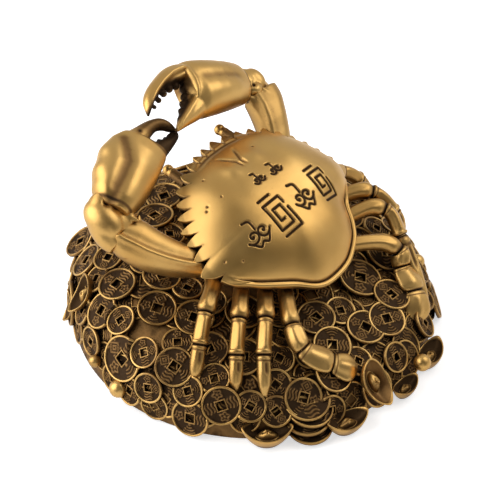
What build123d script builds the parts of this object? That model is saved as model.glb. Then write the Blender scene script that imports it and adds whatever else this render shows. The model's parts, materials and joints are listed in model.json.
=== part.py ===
from build123d import *
import math
import os

# A cast brass crab on a heap of coins. Lengths are in millimetres, angles in degrees.
# The crab looks along -Y and its left side is +X.

# Heap that carries the crab
MOUND_RADIUS = 100.0
MOUND_HEIGHT = 41.5
MOUND_WALL = 5.0
MOUND_FALL_SHARE = 0.15
MOUND_ROUND_SHARES = (1.0, 0.985, 0.95, 0.9, 0.83, 0.74, 0.62, 0.48, 0.3)
MOUND_SQUARENESS = 5

# Underside: a plate in a rebate, screwed to bosses, and a felt pad below it
PAD_THICKNESS = 1.2
MOUND_FOOT = 0.6
PLATE_THICKNESS = 1.6
PLATE_RADIUS = 95.5
LEDGE_WIDTH = 3.0
PAD_INSET = 1.5
CLEARANCE = 0.2
BOSS_RADIUS = 5.0
BOSS_HEIGHT = 8.0
BOSS_INSET = 4.0
PLATE_SCREW_RADIUS = 1.5
PLATE_SCREW_HEAD_RADIUS = 3.4
PLATE_SCREW_HEAD_HEIGHT = 0.9
PLATE_SCREW_COUNT = 4
PLATE_SCREW_BEARING = 45.0
SCREW_END_GAP = 1.2

# Place of the crab's body over the heap's centre
BODY_X = -1.5
BODY_Y = 9.0
BODY_Z = 72.0
BODY_PITCH = 26.0

# Shell and belly
SHELL_HALF_WIDTH = 53.5
SHELL_RISE = 19.0
SHELL_WALL = 3.0
RIM_HEIGHT = 3.0
TOOTH_THICKNESS = 3.0
BELLY_DEPTH = 19.0
BELLY_WALL = 3.0

# Fixing of the body: posts on the heap, screws from inside it
POST_RADIUS = 8.0
POST_LENGTH = 30.0
BODY_SCREW_RADIUS = 2.0
BODY_SCREW_HEAD_RADIUS = 3.8
BODY_SCREW_HEAD_HEIGHT = 2.6
BELLY_BOSS_RADIUS = 5.5
BELLY_BOSS_HEIGHT = 12.0
POST_PLACE_SHARES = (-0.41, 0.26)

# Limbs
SEAM = 0.3
SPIGOT_RADIUS = 1.5
SPIGOT_LENGTH = 5.0
BELLY_SPIGOT_RADIUS = 2.2
BELLY_SPIGOT_REACH = 7.0
THIGH_HALF_WIDTH = 4.4
THIGH_HALF_HEIGHT = 4.0
SHIN_HALF_WIDTH = 4.2
SHIN_HALF_HEIGHT = 3.8
TIP_HALF_WIDTH = 3.6
TIP_HALF_HEIGHT = 3.2
SHIN_BLADE_HALF_WIDTH = 5.0
SHIN_BLADE_HALF_HEIGHT = 3.2
PADDLE_HALF_WIDTH = 5.8
PADDLE_HALF_HEIGHT = 2.4
ARM_HALF_WIDTH = 9.6
ARM_HALF_HEIGHT = 8.0
WRIST_HALF_WIDTH = 11.6
WRIST_HALF_HEIGHT = 9.6
PALM_LENGTH = 41.0
EYE_RADIUS = 3.3
EYE_STALK_RADIUS = 2.5

# Coins, ingots and beads
COIN_DIAMETERS = {"large": 25.0, "medium": 21.0, "small": 17.0}
COIN_THICKNESS = 2.0
COIN_TILT = 7.0
COIN_TURN = 67.0
COIN_GAP = 0.15
COIN_SEAT = 0.4
COIN_HOLE_SHARE = 0.24
COIN_LEFT_SHARE = 0.3
UNCUT_SHARE = 0.999999
MESH_TOLERANCE = 0.02
MESH_SHARE = 0.01
INGOT_LENGTH = 27.0
INGOT_WIDTH = 15.0
INGOT_HEIGHT = 12.0
INGOT_BACK = 1.8
BEAD = 9.0

# Half of the shell's margin from the front's middle to the rear's middle, over its half width
MARGIN_SHARES = (
    (0.0, -0.905), (0.24, -0.885), (0.47, -0.80), (0.63, -0.69), (0.77, -0.52), (0.87, -0.355),
    (0.955, -0.15), (1.0, 0.04), (0.97, 0.17), (0.90, 0.29), (0.76, 0.43), (0.58, 0.60),
    (0.41, 0.72), (0.22, 0.825), (0.0, 0.86),
)
# Points of the margin's teeth on one side, from the front's middle outwards
TOOTH_SHARES = (
    (0.075, -0.97), (0.205, -0.955), (0.45, -0.89), (0.60, -0.80), (0.74, -0.67), (0.84, -0.54),
    (0.935, -0.41), (0.98, -0.26), (1.03, -0.10), (1.10, 0.06),
)
TOOTH_ROOT_SHARE = 0.9
SHELL_FOOT_SHARE = 0.985
# Size of the shell's level lines and, by the dome's curve, their height over its rise
DOME_SHARES = (1.0, 0.96, 0.9, 0.8, 0.65, 0.45, 0.2)
DOME_CURVE = (2.4, 0.75)
# Depth over the belly's depth, and size over the shell's margin
BELLY_SHARES = ((0.158, 0.975), (0.37, 0.90), (0.68, 0.78), (1.0, 0.58))

# Joints of the limbs in the body's frame, over the shell's half width, from the belly outwards
LEG_SHARES = {
    "left_leg_1": ((0.78, 0.11, -0.22), (1.16, 0.33, -0.27), (1.40, 0.52, -0.37), (1.60, 0.74, -0.58)),
    "left_leg_2": ((0.66, 0.34, -0.21), (0.99, 0.60, -0.18), (1.24, 0.84, -0.27), (1.42, 1.09, -0.46)),
    "left_leg_3": ((0.50, 0.52, -0.21), (0.80, 0.77, -0.13), (1.06, 1.02, -0.20), (1.26, 1.32, -0.39)),
    "left_leg_4": (
        (0.31, 0.62, -0.20), (0.64, 0.99, -0.11), (0.73, 1.23, -0.12), (0.58, 1.52, -0.15),
        (0.40, 1.74, -0.18),
    ),
    "right_leg_1": ((-0.84, -0.06, -0.20), (-1.22, 0.08, -0.12), (-1.42, 0.26, -0.24), (-1.46, 0.46, -0.42)),
    "right_leg_2": ((-0.76, 0.22, -0.20), (-1.22, 0.50, -0.05), (-1.34, 0.80, -0.16), (-1.36, 1.02, -0.36)),
    "right_leg_3": ((-0.62, 0.44, -0.20), (-1.16, 0.72, -0.03), (-1.14, 1.05, -0.10), (-0.90, 1.80, -0.34)),
    "right_leg_4": (
        (-0.41, 0.60, -0.20), (-0.94, 1.11, -0.09), (-0.88, 1.25, -0.17), (-0.80, 1.52, -0.19),
        (-0.60, 1.70, -0.24),
    ),
}
# Arm root, elbow and the wrist's bend of each claw, and the palm's frame
CLAWS = {
    "left": dict(
        root=(0.84, -0.16, -0.15), elbow=(1.41, -0.66, -0.06), bend=(1.43, -0.87, 0.02),
        palm=(1.27, -0.99, 0.09), along=(-0.9, -0.44, 0.07), across=(0.5, -0.85, 0.1),
    ),
    "right": dict(
        root=(-0.78, -0.52, -0.17), elbow=(-1.03, -1.02, -0.04), bend=(-1.07, -1.17, 0.03),
        palm=(-0.90, -1.24, 0.06), along=(0.90, -0.36, 0.24), across=(-0.1, -1.0, 0.15),
    ),
}
# Root and tip of the left eye's stalk
EYE_SHARES = ((0.27, -0.76, -0.08), (0.43, -1.01, 0.0))
# Palm and fingers over the palm's length: along, across, half depth, half thickness
PALM_SHARES = (
    (0.0, 0.0, 0.26, 0.20), (0.14, 0.0, 0.34, 0.25), (0.40, 0.0, 0.395, 0.27),
    (0.68, 0.0, 0.41, 0.265), (0.88, -0.02, 0.40, 0.245), (1.0, -0.04, 0.36, 0.21),
)
FINGER_SHARES = {
    "left": dict(
        fixed=((0.86, -0.17, 0.20, 0.19), (1.09, -0.285, 0.125, 0.14), (1.25, -0.34, 0.08, 0.09),
               (1.355, -0.385, 0.018, 0.02)),
        moving=((1.0, 0.09, 0.15, 0.15), (1.19, 0.03, 0.10, 0.12), (1.33, -0.07, 0.075, 0.10),
                (1.40, -0.19, 0.055, 0.07), (1.42, -0.31, 0.018, 0.02)),
    ),
    "right": dict(
        fixed=((0.86, -0.20, 0.22, 0.19), (1.07, -0.33, 0.18, 0.155), (1.27, -0.46, 0.105, 0.11),
               (1.46, -0.65, 0.018, 0.02)),
        moving=((1.0, 0.17, 0.17, 0.16), (1.22, 0.16, 0.13, 0.14), (1.44, 0.06, 0.105, 0.12),
                (1.63, -0.07, 0.085, 0.10), (1.77, -0.22, 0.06, 0.07), (1.80, -0.38, 0.018, 0.02)),
    ),
}
# Swell of a limb's segment along its length
SWELL_SHARES = ((0.0, 0.86), (0.2, 1.04), (0.55, 0.94), (0.85, 1.02), (1.0, 0.84))
TIP_SWELL_SHARES = ((0.0, 0.94), (0.25, 1.0), (0.6, 0.74), (0.85, 0.46), (1.0, 0.2))
WRIST_SWELL_SHARES = ((0.0, 0.72), (0.3, 1.0), (0.7, 1.0), (1.0, 0.86))
PADDLE_SWELL_SHARES = ((0.0, 0.55), (0.25, 0.85), (0.6, 1.0), (0.85, 0.7), (1.0, 0.22))

# Coins that lie on the cap: bearing, distance over the heap's radius, size; the first lie on top
CAP_COINS = (
    (114, 0.77, "medium"), (102, 0.80, "medium"), (74, 0.73, "medium"), (352, 0.68, "medium"),
    (331, 0.77, "medium"), (345, 0.84, "small"), (0, 0.87, "small"), (9, 0.60, "medium"),
    (12, 0.86, "medium"), (337, 0.55, "medium"), (9, 0.76, "small"), (92, 0.75, "medium"),
    (76, 0.56, "medium"), (90, 0.60, "small"), (116, 0.59, "large"), (353, 0.48, "small"),
    (291, 0.57, "medium"), (275, 0.60, "medium"), (264, 0.74, "small"), (316, 0.78, "small"),
)
# Coins that lean on the wall: bearing, height over the heap's height there, size
WALL_COINS = (
    (336, 0.69, "medium"), (354, 0.55, "large"), (30, 0.52, "medium"), (56, 0.60, "medium"),
    (39, 0.54, "small"), (47, 0.48, "small"), (19, 0.58, "small"), (6, 0.44, "small"),
    (93, 0.55, "small"), (81, 0.38, "medium"), (113, 0.45, "small"), (122, 0.58, "small"),
    (339, 0.40, "small"), (297, 0.55, "medium"), (64, 0.36, "small"), (311, 0.66, "medium"),
)
# Rings that fill the rest of the heap with coins
CAP_RING_SHARES = (0.32, 0.46, 0.60, 0.73, 0.85)
WALL_RING_SHARES = (0.50, 0.74, 0.28)
FILL_SIZES = ("medium", "small", "large", "small", "medium")
FILL_PITCH_SHARE = 0.86
CLOSEST_SHARE = 0.70
# Ingots: bearing, height over the heap's height there (zero stands on the floor), share of the size
INGOTS = (
    (44, 0.0, 1.0), (70, 0.0, 0.85), (108, 0.0, 0.8), (325, 0.60, 0.85), (318, 0.26, 0.75),
    (24, 0.0, 0.8), (5, 0.0, 0.75), (90, 0.0, 0.7), (132, 0.0, 0.85), (158, 0.0, 0.95), (183, 0.0, 0.85),
    (207, 0.0, 1.0), (232, 0.0, 0.85), (256, 0.0, 0.95), (280, 0.0, 0.85), (301, 0.0, 0.8),
)
# Beads: bearing, height over the heap's height there, share of the diameter
BEADS = (
    (344, 0.28, 0.78), (356, 0.22, 1.1), (98, 0.30, 1.05), (145, 0.34, 1.0), (195, 0.32, 0.9),
    (244, 0.34, 1.0), (290, 0.34, 1.0),
)
# Room under the shell that stays free of coins, sideways and lengthwise
UNDER_BELLY_SHARES = (0.74, 0.62)
# Height over its diameter that a coin on the wall needs to clear the floor
FLOOR_ROOM_SHARE = 0.42
# Height, length and width of an ingot's level lines
INGOT_LEVEL_SHARES = ((0, 0.5, 0.5), (0.45, 0.78, 0.86), (1, 1, 1))
# Saddle: height of its axis and radius; knob: height and radius
SADDLE_SHARES = (1.5, 0.36)
KNOB_SHARES = (0.5, 0.36)


def crab_frame():
    return Location((BODY_X, BODY_Y, BODY_Z), (-BODY_PITCH, 0, 0))


def to_body(point):
    return (crab_frame().inverse() * Location(point)).position


def shell_point(shares):
    return Vector(*shares) * SHELL_HALF_WIDTH


def dome(radius, height, foot):
    """A heap whose level rings tilt more and more towards its sloping cap."""
    rings = []
    for share in MOUND_ROUND_SHARES:
        lift = math.sqrt(1 - share**MOUND_SQUARENESS)
        fall = MOUND_FALL_SHARE * lift
        plane = Plane(origin=(0, 0, foot + lift * height), x_dir=(1, 0, 0), z_dir=(0, fall, 1))
        rings.append(plane * Ellipse(share * radius, share * radius * math.sqrt(1 + fall**2)))
    return loft(rings)


def heap_height(y):
    return MOUND_HEIGHT - MOUND_FALL_SHARE * y


def on_heap(bearing, radius_share):
    """Point and outward normal of the heap at a bearing and a share of its radius."""
    x = MOUND_RADIUS * radius_share * math.cos(math.radians(bearing))
    y = MOUND_RADIUS * radius_share * math.sin(math.radians(bearing))
    top = heap_height(y)
    lift = math.sqrt(1 - radius_share**MOUND_SQUARENESS)
    z = lift * top
    push = MOUND_SQUARENESS * radius_share ** (MOUND_SQUARENESS - 1) / MOUND_RADIUS
    tip = 2 * lift * lift * MOUND_FALL_SHARE / top
    angle = math.radians(bearing)
    normal = Vector(push * math.cos(angle), push * math.sin(angle) + tip, 2 * lift / top)
    return Vector(x, y, z + MOUND_FOOT), normal.normalized()


def on_wall(bearing, height_share):
    return on_heap(bearing, (1 - height_share**2) ** (1 / MOUND_SQUARENESS))


def margin(scale, z):
    """Face inside the shell's margin, scaled, at a height of the body's frame."""
    half = [(x * SHELL_HALF_WIDTH * scale, y * SHELL_HALF_WIDTH * scale) for x, y in MARGIN_SHARES]
    mirrored = [(-x, y) for x, y in half[-2:0:-1]]
    line = Spline([Vector(x, y, z) for x, y in half + mirrored], periodic=True)
    return Face(Wire([line]))


def shell_form(inset):
    size = 1 - inset / SHELL_HALF_WIDTH
    rise = SHELL_RISE - inset
    bend, power = DOME_CURVE
    sections = [margin(size * SHELL_FOOT_SHARE, -RIM_HEIGHT)]
    for share in DOME_SHARES:
        sections.append(margin(size * share, rise * (1 - share**bend) ** power))
    return loft(sections)


def belly_form(inset):
    size = 1 - inset / SHELL_HALF_WIDTH
    depth = BELLY_DEPTH - inset - RIM_HEIGHT
    first = BELLY_SHARES[0][0]
    sections = []
    for share, scale in BELLY_SHARES:
        sections.append(margin(size * scale, -RIM_HEIGHT - depth * (share - first) / (1 - first)))
    return loft(sections)


def teeth():
    """Saw teeth along the front of the margin."""
    solids = []
    points = [(-TOOTH_SHARES[0][0], TOOTH_SHARES[0][1])] + list(TOOTH_SHARES) + [MARGIN_SHARES[8]]
    for before, tip, after in zip(points, points[1:], points[2:]):
        corners = [tip]
        for other in (before, after):
            corners.append([(a + b) / 2 * TOOTH_ROOT_SHARE for a, b in zip(tip, other)])
        for side in (1, -1):
            outline = Polyline([(side * x * SHELL_HALF_WIDTH, y * SHELL_HALF_WIDTH, -TOOTH_THICKNESS)
                                for x, y in corners], close=True)
            solids.append(extrude(Face(Wire(outline.edges())), TOOTH_THICKNESS, dir=(0, 0, 1)))
    return solids


def post_centres():
    return [share * SHELL_HALF_WIDTH for share in POST_PLACE_SHARES]


def rod(start, direction, length, radius):
    """Cylinder from a point along a direction."""
    plane = Plane(origin=start, z_dir=direction)
    return extrude(plane * Circle(radius), length)


def hollow_mound():
    floor = PAD_THICKNESS + PLATE_THICKNESS
    outer = dome(MOUND_RADIUS, MOUND_HEIGHT, MOUND_FOOT)
    cavity_radius = PLATE_RADIUS - LEDGE_WIDTH
    cavity = dome(cavity_radius, MOUND_HEIGHT - MOUND_WALL, floor)
    rebate = Pos(0, 0, MOUND_FOOT) * Cylinder(PLATE_RADIUS + CLEARANCE, floor - MOUND_FOOT,
                                              align=(Align.CENTER, Align.CENTER, Align.MIN))
    mound = outer - cavity - rebate
    boss_ring = PolarLocations(cavity_radius - BOSS_INSET, PLATE_SCREW_COUNT, PLATE_SCREW_BEARING)
    for place in boss_ring:
        mound += Pos(0, 0, floor) * place * Cylinder(BOSS_RADIUS, BOSS_HEIGHT,
                                                     align=(Align.CENTER, Align.CENTER, Align.MIN))
        mound -= Pos(0, 0, floor) * place * Cylinder(PLATE_SCREW_RADIUS + CLEARANCE / 2, BOSS_HEIGHT - SEAM,
                                                     align=(Align.CENTER, Align.CENTER, Align.MIN))
    for y in post_centres():
        foot = Vector(0, y, -BELLY_DEPTH - POST_LENGTH)
        mound += crab_frame() * rod(foot, (0, 0, 1), POST_LENGTH, POST_RADIUS)
    for y in post_centres():
        foot = Vector(0, y, -BELLY_DEPTH - POST_LENGTH)
        mound -= crab_frame() * rod(foot, (0, 0, 1), POST_LENGTH, BODY_SCREW_RADIUS + CLEARANCE / 2)
    return mound, outer, boss_ring


def underside(boss_ring):
    """Bottom plate, felt pad and plate screws."""
    low = (Align.CENTER, Align.CENTER, Align.MIN)
    plate = Pos(0, 0, PAD_THICKNESS) * Cylinder(PLATE_RADIUS, PLATE_THICKNESS, align=low)
    pad = Cylinder(PLATE_RADIUS - PAD_INSET, PAD_THICKNESS, align=low)
    screws = []
    for place in boss_ring:
        plate -= place * Cylinder(PLATE_SCREW_RADIUS + CLEARANCE, 4 * PLATE_THICKNESS)
        pad -= place * Cylinder(PLATE_SCREW_HEAD_RADIUS + CLEARANCE, 4 * PAD_THICKNESS)
        head = Pos(0, 0, PAD_THICKNESS - PLATE_SCREW_HEAD_HEIGHT) * place * Cylinder(
            PLATE_SCREW_HEAD_RADIUS, PLATE_SCREW_HEAD_HEIGHT, align=low)
        shank = Pos(0, 0, PAD_THICKNESS) * place * Cylinder(
            PLATE_SCREW_RADIUS, PLATE_THICKNESS + BOSS_HEIGHT - SCREW_END_GAP, align=low)
        screws.append(head + shank)
    return plate, pad, screws


def path_frames(start, leave, end, arrive, stations):
    """Points and tangents on the smooth curve between two joints."""
    reach = (end - start).length
    leave = leave.normalized() * reach
    arrive = arrive.normalized() * reach
    frames = []
    for t in stations:
        point = (start * (2 * t**3 - 3 * t**2 + 1) + leave * (t**3 - 2 * t**2 + t)
                 + end * (3 * t**2 - 2 * t**3) + arrive * (t**3 - t**2))
        tangent = (start * (6 * t**2 - 6 * t) + leave * (3 * t**2 - 4 * t + 1)
                   + end * (6 * t - 6 * t**2) + arrive * (3 * t**2 - 2 * t))
        frames.append((point, tangent.normalized()))
    return frames


def segment(start, leave, end, arrive, swell, half_width, half_height, up=Vector(0, 0, 1)):
    """One limb segment: a loft of ellipses along the curve between two joints, less half a seam."""
    leave = leave.normalized()
    arrive = arrive.normalized()
    frames = path_frames(start + leave * (SEAM / 2), leave, end - arrive * (SEAM / 2), arrive,
                         [t for t, _ in swell])
    sections = []
    for (point, tangent), (_, share) in zip(frames, swell):
        side = up.cross(tangent).normalized()
        plane = Plane(origin=point, x_dir=side, z_dir=tangent)
        sections.append(plane * Ellipse(half_width * share, half_height * share))
    return loft(sections)


def joint_directions(joints):
    """Direction through each joint: halfway between the segments that meet there."""
    runs = [(b - a).normalized() for a, b in zip(joints, joints[1:])]
    middle = [(a + b).normalized() for a, b in zip(runs, runs[1:])]
    return [runs[0]] + middle + [runs[-1]]


def limb(joints, forms, names, belly, shell):
    """Chain of segments from the belly: each has a spigot in a socket of the one before it."""
    directions = joint_directions(joints)
    solids = []
    for index, (swell, width, height) in enumerate(forms):
        start = joints[index]
        leave = directions[index]
        if index == 0:
            start = start - leave * BELLY_SPIGOT_REACH / 2
        solids.append(segment(start, leave, joints[index + 1], directions[index + 1], swell, width, height))
    solids[0] = largest(solids[0] - belly - shell)
    root = joints[0] - directions[0] * BELLY_SPIGOT_REACH
    root_length = BELLY_SPIGOT_REACH + SPIGOT_LENGTH
    solids[0] += rod(root, directions[0], root_length, BELLY_SPIGOT_RADIUS)
    socket = rod(root, directions[0], root_length, BELLY_SPIGOT_RADIUS + CLEARANCE / 2)
    for index in range(1, len(solids)):
        back = joints[index] - directions[index] * SPIGOT_LENGTH
        solids[index - 1] -= rod(back, directions[index], SPIGOT_LENGTH * 2, SPIGOT_RADIUS + CLEARANCE / 2)
        solids[index] += rod(back + directions[index] * CLEARANCE, directions[index],
                             SPIGOT_LENGTH * 1.5, SPIGOT_RADIUS)
    return dict(zip(names, solids)), socket


def finger(frame, shares):
    """Loft along a finger's bent centre line in the claw's plane."""
    origin, along, across, thick = frame
    centres = [origin + along * (p * PALM_LENGTH) + across * (q * PALM_LENGTH) for p, q, _, _ in shares]
    directions = joint_directions(centres)
    if shares[0][0] == 1.0:
        directions[0] = along
        centres[0] = centres[0] + along * SEAM
    sections = []
    for centre, direction, (_, _, depth, thickness) in zip(centres, directions, shares):
        plane = Plane(origin=centre, x_dir=thick, z_dir=direction)
        sections.append(plane * Ellipse(thickness * PALM_LENGTH, depth * PALM_LENGTH))
    return loft(sections)


def claw(side, belly, shell):
    """Arm, wrist, palm with its fixed finger, and the other finger."""
    plan = CLAWS[side]
    root, elbow, bend, palm_root = [shell_point(plan[key]) for key in ("root", "elbow", "bend", "palm")]
    along = Vector(*plan["along"]).normalized()
    across = Vector(*plan["across"])
    across = (across - along * across.dot(along)).normalized()
    thick = along.cross(across)
    out = (elbow - root).normalized()
    turn = ((elbow - root).normalized() + (bend - elbow).normalized()).normalized()
    arm = segment(root - out * BELLY_SPIGOT_REACH / 2, out, elbow, turn, SWELL_SHARES,
                  ARM_HALF_WIDTH, ARM_HALF_HEIGHT)
    arm = largest(arm - belly - shell)
    start = root - out * BELLY_SPIGOT_REACH
    length = BELLY_SPIGOT_REACH + SPIGOT_LENGTH
    arm += rod(start, out, length, 2 * BELLY_SPIGOT_RADIUS)
    socket = rod(start, out, length, 2 * BELLY_SPIGOT_RADIUS + CLEARANCE / 2)
    wrist = segment(elbow, turn, palm_root, along, WRIST_SWELL_SHARES, WRIST_HALF_WIDTH, WRIST_HALF_HEIGHT)
    frame = (palm_root, along, across, thick)
    sections = []
    for p, q, depth, thickness in PALM_SHARES:
        reach = max(p * PALM_LENGTH, SEAM / 2)
        centre = palm_root + along * reach + across * (q * PALM_LENGTH)
        plane = Plane(origin=centre, x_dir=thick, z_dir=along)
        sections.append(plane * Ellipse(thickness * PALM_LENGTH, depth * PALM_LENGTH))
    palm = loft(sections) + finger(frame, FINGER_SHARES[side]["fixed"])
    moving = finger(frame, FINGER_SHARES[side]["moving"]) - palm
    for place, direction, host in ((elbow, turn, "arm"), (palm_root, along, "wrist")):
        back = place - direction * SPIGOT_LENGTH
        hole = rod(back, direction, SPIGOT_LENGTH * 2, 2 * SPIGOT_RADIUS + CLEARANCE / 2)
        pin = rod(back + direction * CLEARANCE, direction, SPIGOT_LENGTH * 1.5, 2 * SPIGOT_RADIUS)
        if host == "arm":
            arm -= hole
            wrist += pin
        else:
            wrist -= hole
            palm += pin
    first = FINGER_SHARES[side]["moving"][0]
    knuckle = palm_root + along * PALM_LENGTH + across * (first[1] * PALM_LENGTH)
    palm -= rod(knuckle - along * SPIGOT_LENGTH, along, SPIGOT_LENGTH * 2, SPIGOT_RADIUS + CLEARANCE / 2)
    moving += rod(knuckle - along * (SPIGOT_LENGTH - CLEARANCE), along, SPIGOT_LENGTH * 1.5, SPIGOT_RADIUS)
    names = [side + "_claw_" + word for word in ("arm", "wrist", "palm", "finger")]
    return dict(zip(names, (arm, wrist, palm, moving))), socket


def eye(side, shell, belly):
    root, tip = [shell_point((side * x, y, z)) for x, y, z in EYE_SHARES]
    stalk = rod(root, tip - root, (tip - root).length, EYE_STALK_RADIUS)
    ball = Pos(*tip) * Sphere(EYE_RADIUS)
    return (stalk + ball) - shell - belly


def coin_solid(diameter):
    hole = diameter * COIN_HOLE_SHARE
    return extrude(Circle(diameter / 2) - Rectangle(hole, hole), COIN_THICKNESS)


def coin_frame(point, normal, diameter, turn):
    """Frame of a coin that rests on one edge and leans on its neighbours."""
    base = Plane(origin=point, z_dir=normal)
    lift = COIN_SEAT + diameter / 2 * math.sin(math.radians(COIN_TILT))
    return base.location * Location((0, 0, 0), (0, 0, turn)) * Location((0, 0, lift), (COIN_TILT, 0, 0))


def under_belly(point):
    place = to_body(point)
    width, length = UNDER_BELLY_SHARES
    return math.hypot(place.X / width, place.Y / length) < SHELL_HALF_WIDTH


def coin_places():
    """Named coins first, then rings of coins where there is room; the first ones end on top."""
    places = []
    for finder, table in ((on_heap, CAP_COINS), (on_wall, WALL_COINS)):
        for index, (bearing, share, size) in enumerate(table):
            point, normal = finder(bearing, share)
            places.append((point, normal, size, index * COIN_TURN))
    count = 0
    for finder, shares in ((on_wall, WALL_RING_SHARES), (on_heap, CAP_RING_SHARES)):
        for ring, share in enumerate(shares):
            radius = MOUND_RADIUS if finder is on_wall else MOUND_RADIUS * share
            number = int(2 * math.pi * radius / (COIN_DIAMETERS["medium"] * FILL_PITCH_SHARE))
            for step in range(number):
                size = FILL_SIZES[count % len(FILL_SIZES)]
                point, normal = finder(360 * (step + ring / 2) / number, share)
                count += 1
                diameter = COIN_DIAMETERS[size]
                room = FLOOR_ROOM_SHARE * diameter * math.hypot(normal.X, normal.Y)
                near = [other for other, _, other_size, _ in places if (other - point).length
                        < CLOSEST_SHARE * (COIN_DIAMETERS[other_size] + diameter) / 2]
                if not near and not under_belly(point) and point.Z >= MOUND_FOOT + room:
                    places.append((point, normal, size, count * COIN_TURN))
    return places


def largest(shape):
    solids = sorted(shape.solids(), key=lambda solid: solid.volume)
    return solids[-1] if solids else None


def apart(box, other):
    """Largest gap between two boxes along an axis: negative where they meet."""
    gaps = []
    for axis in "XYZ":
        gaps.append(getattr(box.min, axis) - getattr(other.max, axis))
        gaps.append(getattr(other.min, axis) - getattr(box.max, axis))
    return max(gaps)


def shared_volume(solid, other):
    try:
        common = solid & other
    except ValueError:
        return 0
    return sum(piece.volume for piece in common.solids()) if common else 0


def mesh_volume(solid):
    """Volume inside the solid's triangles: it differs where a cut left a face broken."""
    points, triangles = solid.tessellate(MESH_TOLERANCE)
    return sum(points[a].dot(points[b].cross(points[c])) for a, b, c in triangles) / 6


def cut_back(solid, cutters):
    """What stays of a coin under the pieces that lie on it, or nothing."""
    full = solid.volume
    for cutter in cutters:
        before = solid.volume
        try:
            solid = largest(solid - cutter)
        except ValueError:
            return None
        if solid is None or solid.volume < COIN_LEFT_SHARE * full:
            return None
        if solid.volume > before * UNCUT_SHARE and shared_volume(solid, cutter) > 0:
            return None
    whole = solid.is_valid and math.isclose(mesh_volume(solid), solid.volume, rel_tol=MESH_SHARE)
    return solid if whole else None


def coins(obstacles):
    """Coins by size: each is cut back where one above it, or another piece, lies on it."""
    placed = []
    for point, normal, size, turn in coin_places():
        diameter = COIN_DIAMETERS[size]
        frame = coin_frame(point, normal, diameter, turn)
        cutter = Cylinder(diameter / 2 + COIN_GAP, COIN_THICKNESS + 2 * COIN_GAP,
                          align=(Align.CENTER, Align.CENTER, Align.MIN))
        placed.append((frame * coin_solid(diameter), frame * Pos(0, 0, -COIN_GAP) * cutter, point, size))
    groups = {}
    for index, (solid, _, point, size) in enumerate(placed):
        cutters = []
        for _, cutter, other, other_size in placed[:index]:
            reach = (COIN_DIAMETERS[size] + COIN_DIAMETERS[other_size]) / 2 + COIN_THICKNESS
            if (other - point).length < reach:
                cutters.append(cutter)
        box = solid.bounding_box()
        cutters += [form for form, form_box in obstacles if apart(box, form_box) < 0]
        piece = cut_back(solid, cutters)
        if piece is not None:
            groups.setdefault(size, []).append(piece)
    return groups


def ingot(share):
    """Boat-shaped ingot with raised ends and a dome, standing on its keel at z = 0."""
    length = INGOT_LENGTH * share
    width = INGOT_WIDTH * share
    height = INGOT_HEIGHT * share
    boat = loft([Pos(0, 0, z * height) * Ellipse(a * length / 2, b * width / 2)
                 for z, a, b in INGOT_LEVEL_SHARES])
    saddle = Cylinder(length * SADDLE_SHARES[1], 2 * width)
    saddle = Pos(0, 0, height * SADDLE_SHARES[0]) * Rot(90, 0, 0) * saddle
    knob = Pos(0, 0, height * KNOB_SHARES[0]) * Sphere(width * KNOB_SHARES[1])
    return boat - saddle + knob


def ornaments(mound):
    ingots = []
    for bearing, height_share, share in INGOTS:
        if height_share == 0:
            angle = math.radians(bearing)
            reach = MOUND_RADIUS - INGOT_BACK
            frame = Location((reach * math.cos(angle), reach * math.sin(angle), MOUND_FOOT),
                             (0, 0, bearing + 90))
            ingots.append(largest(frame * ingot(share) - mound))
        else:
            point, normal = on_wall(bearing, height_share)
            frame = Plane(origin=point + normal * COIN_GAP, z_dir=normal).location
            ingots.append(frame * ingot(share))
    beads = []
    for bearing, height_share, share in BEADS:
        point, normal = on_wall(bearing, height_share)
        radius = BEAD * share / 2
        beads.append(Pos(*(point + normal * (radius + COIN_GAP))) * Sphere(radius))
    return ingots, beads


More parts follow.
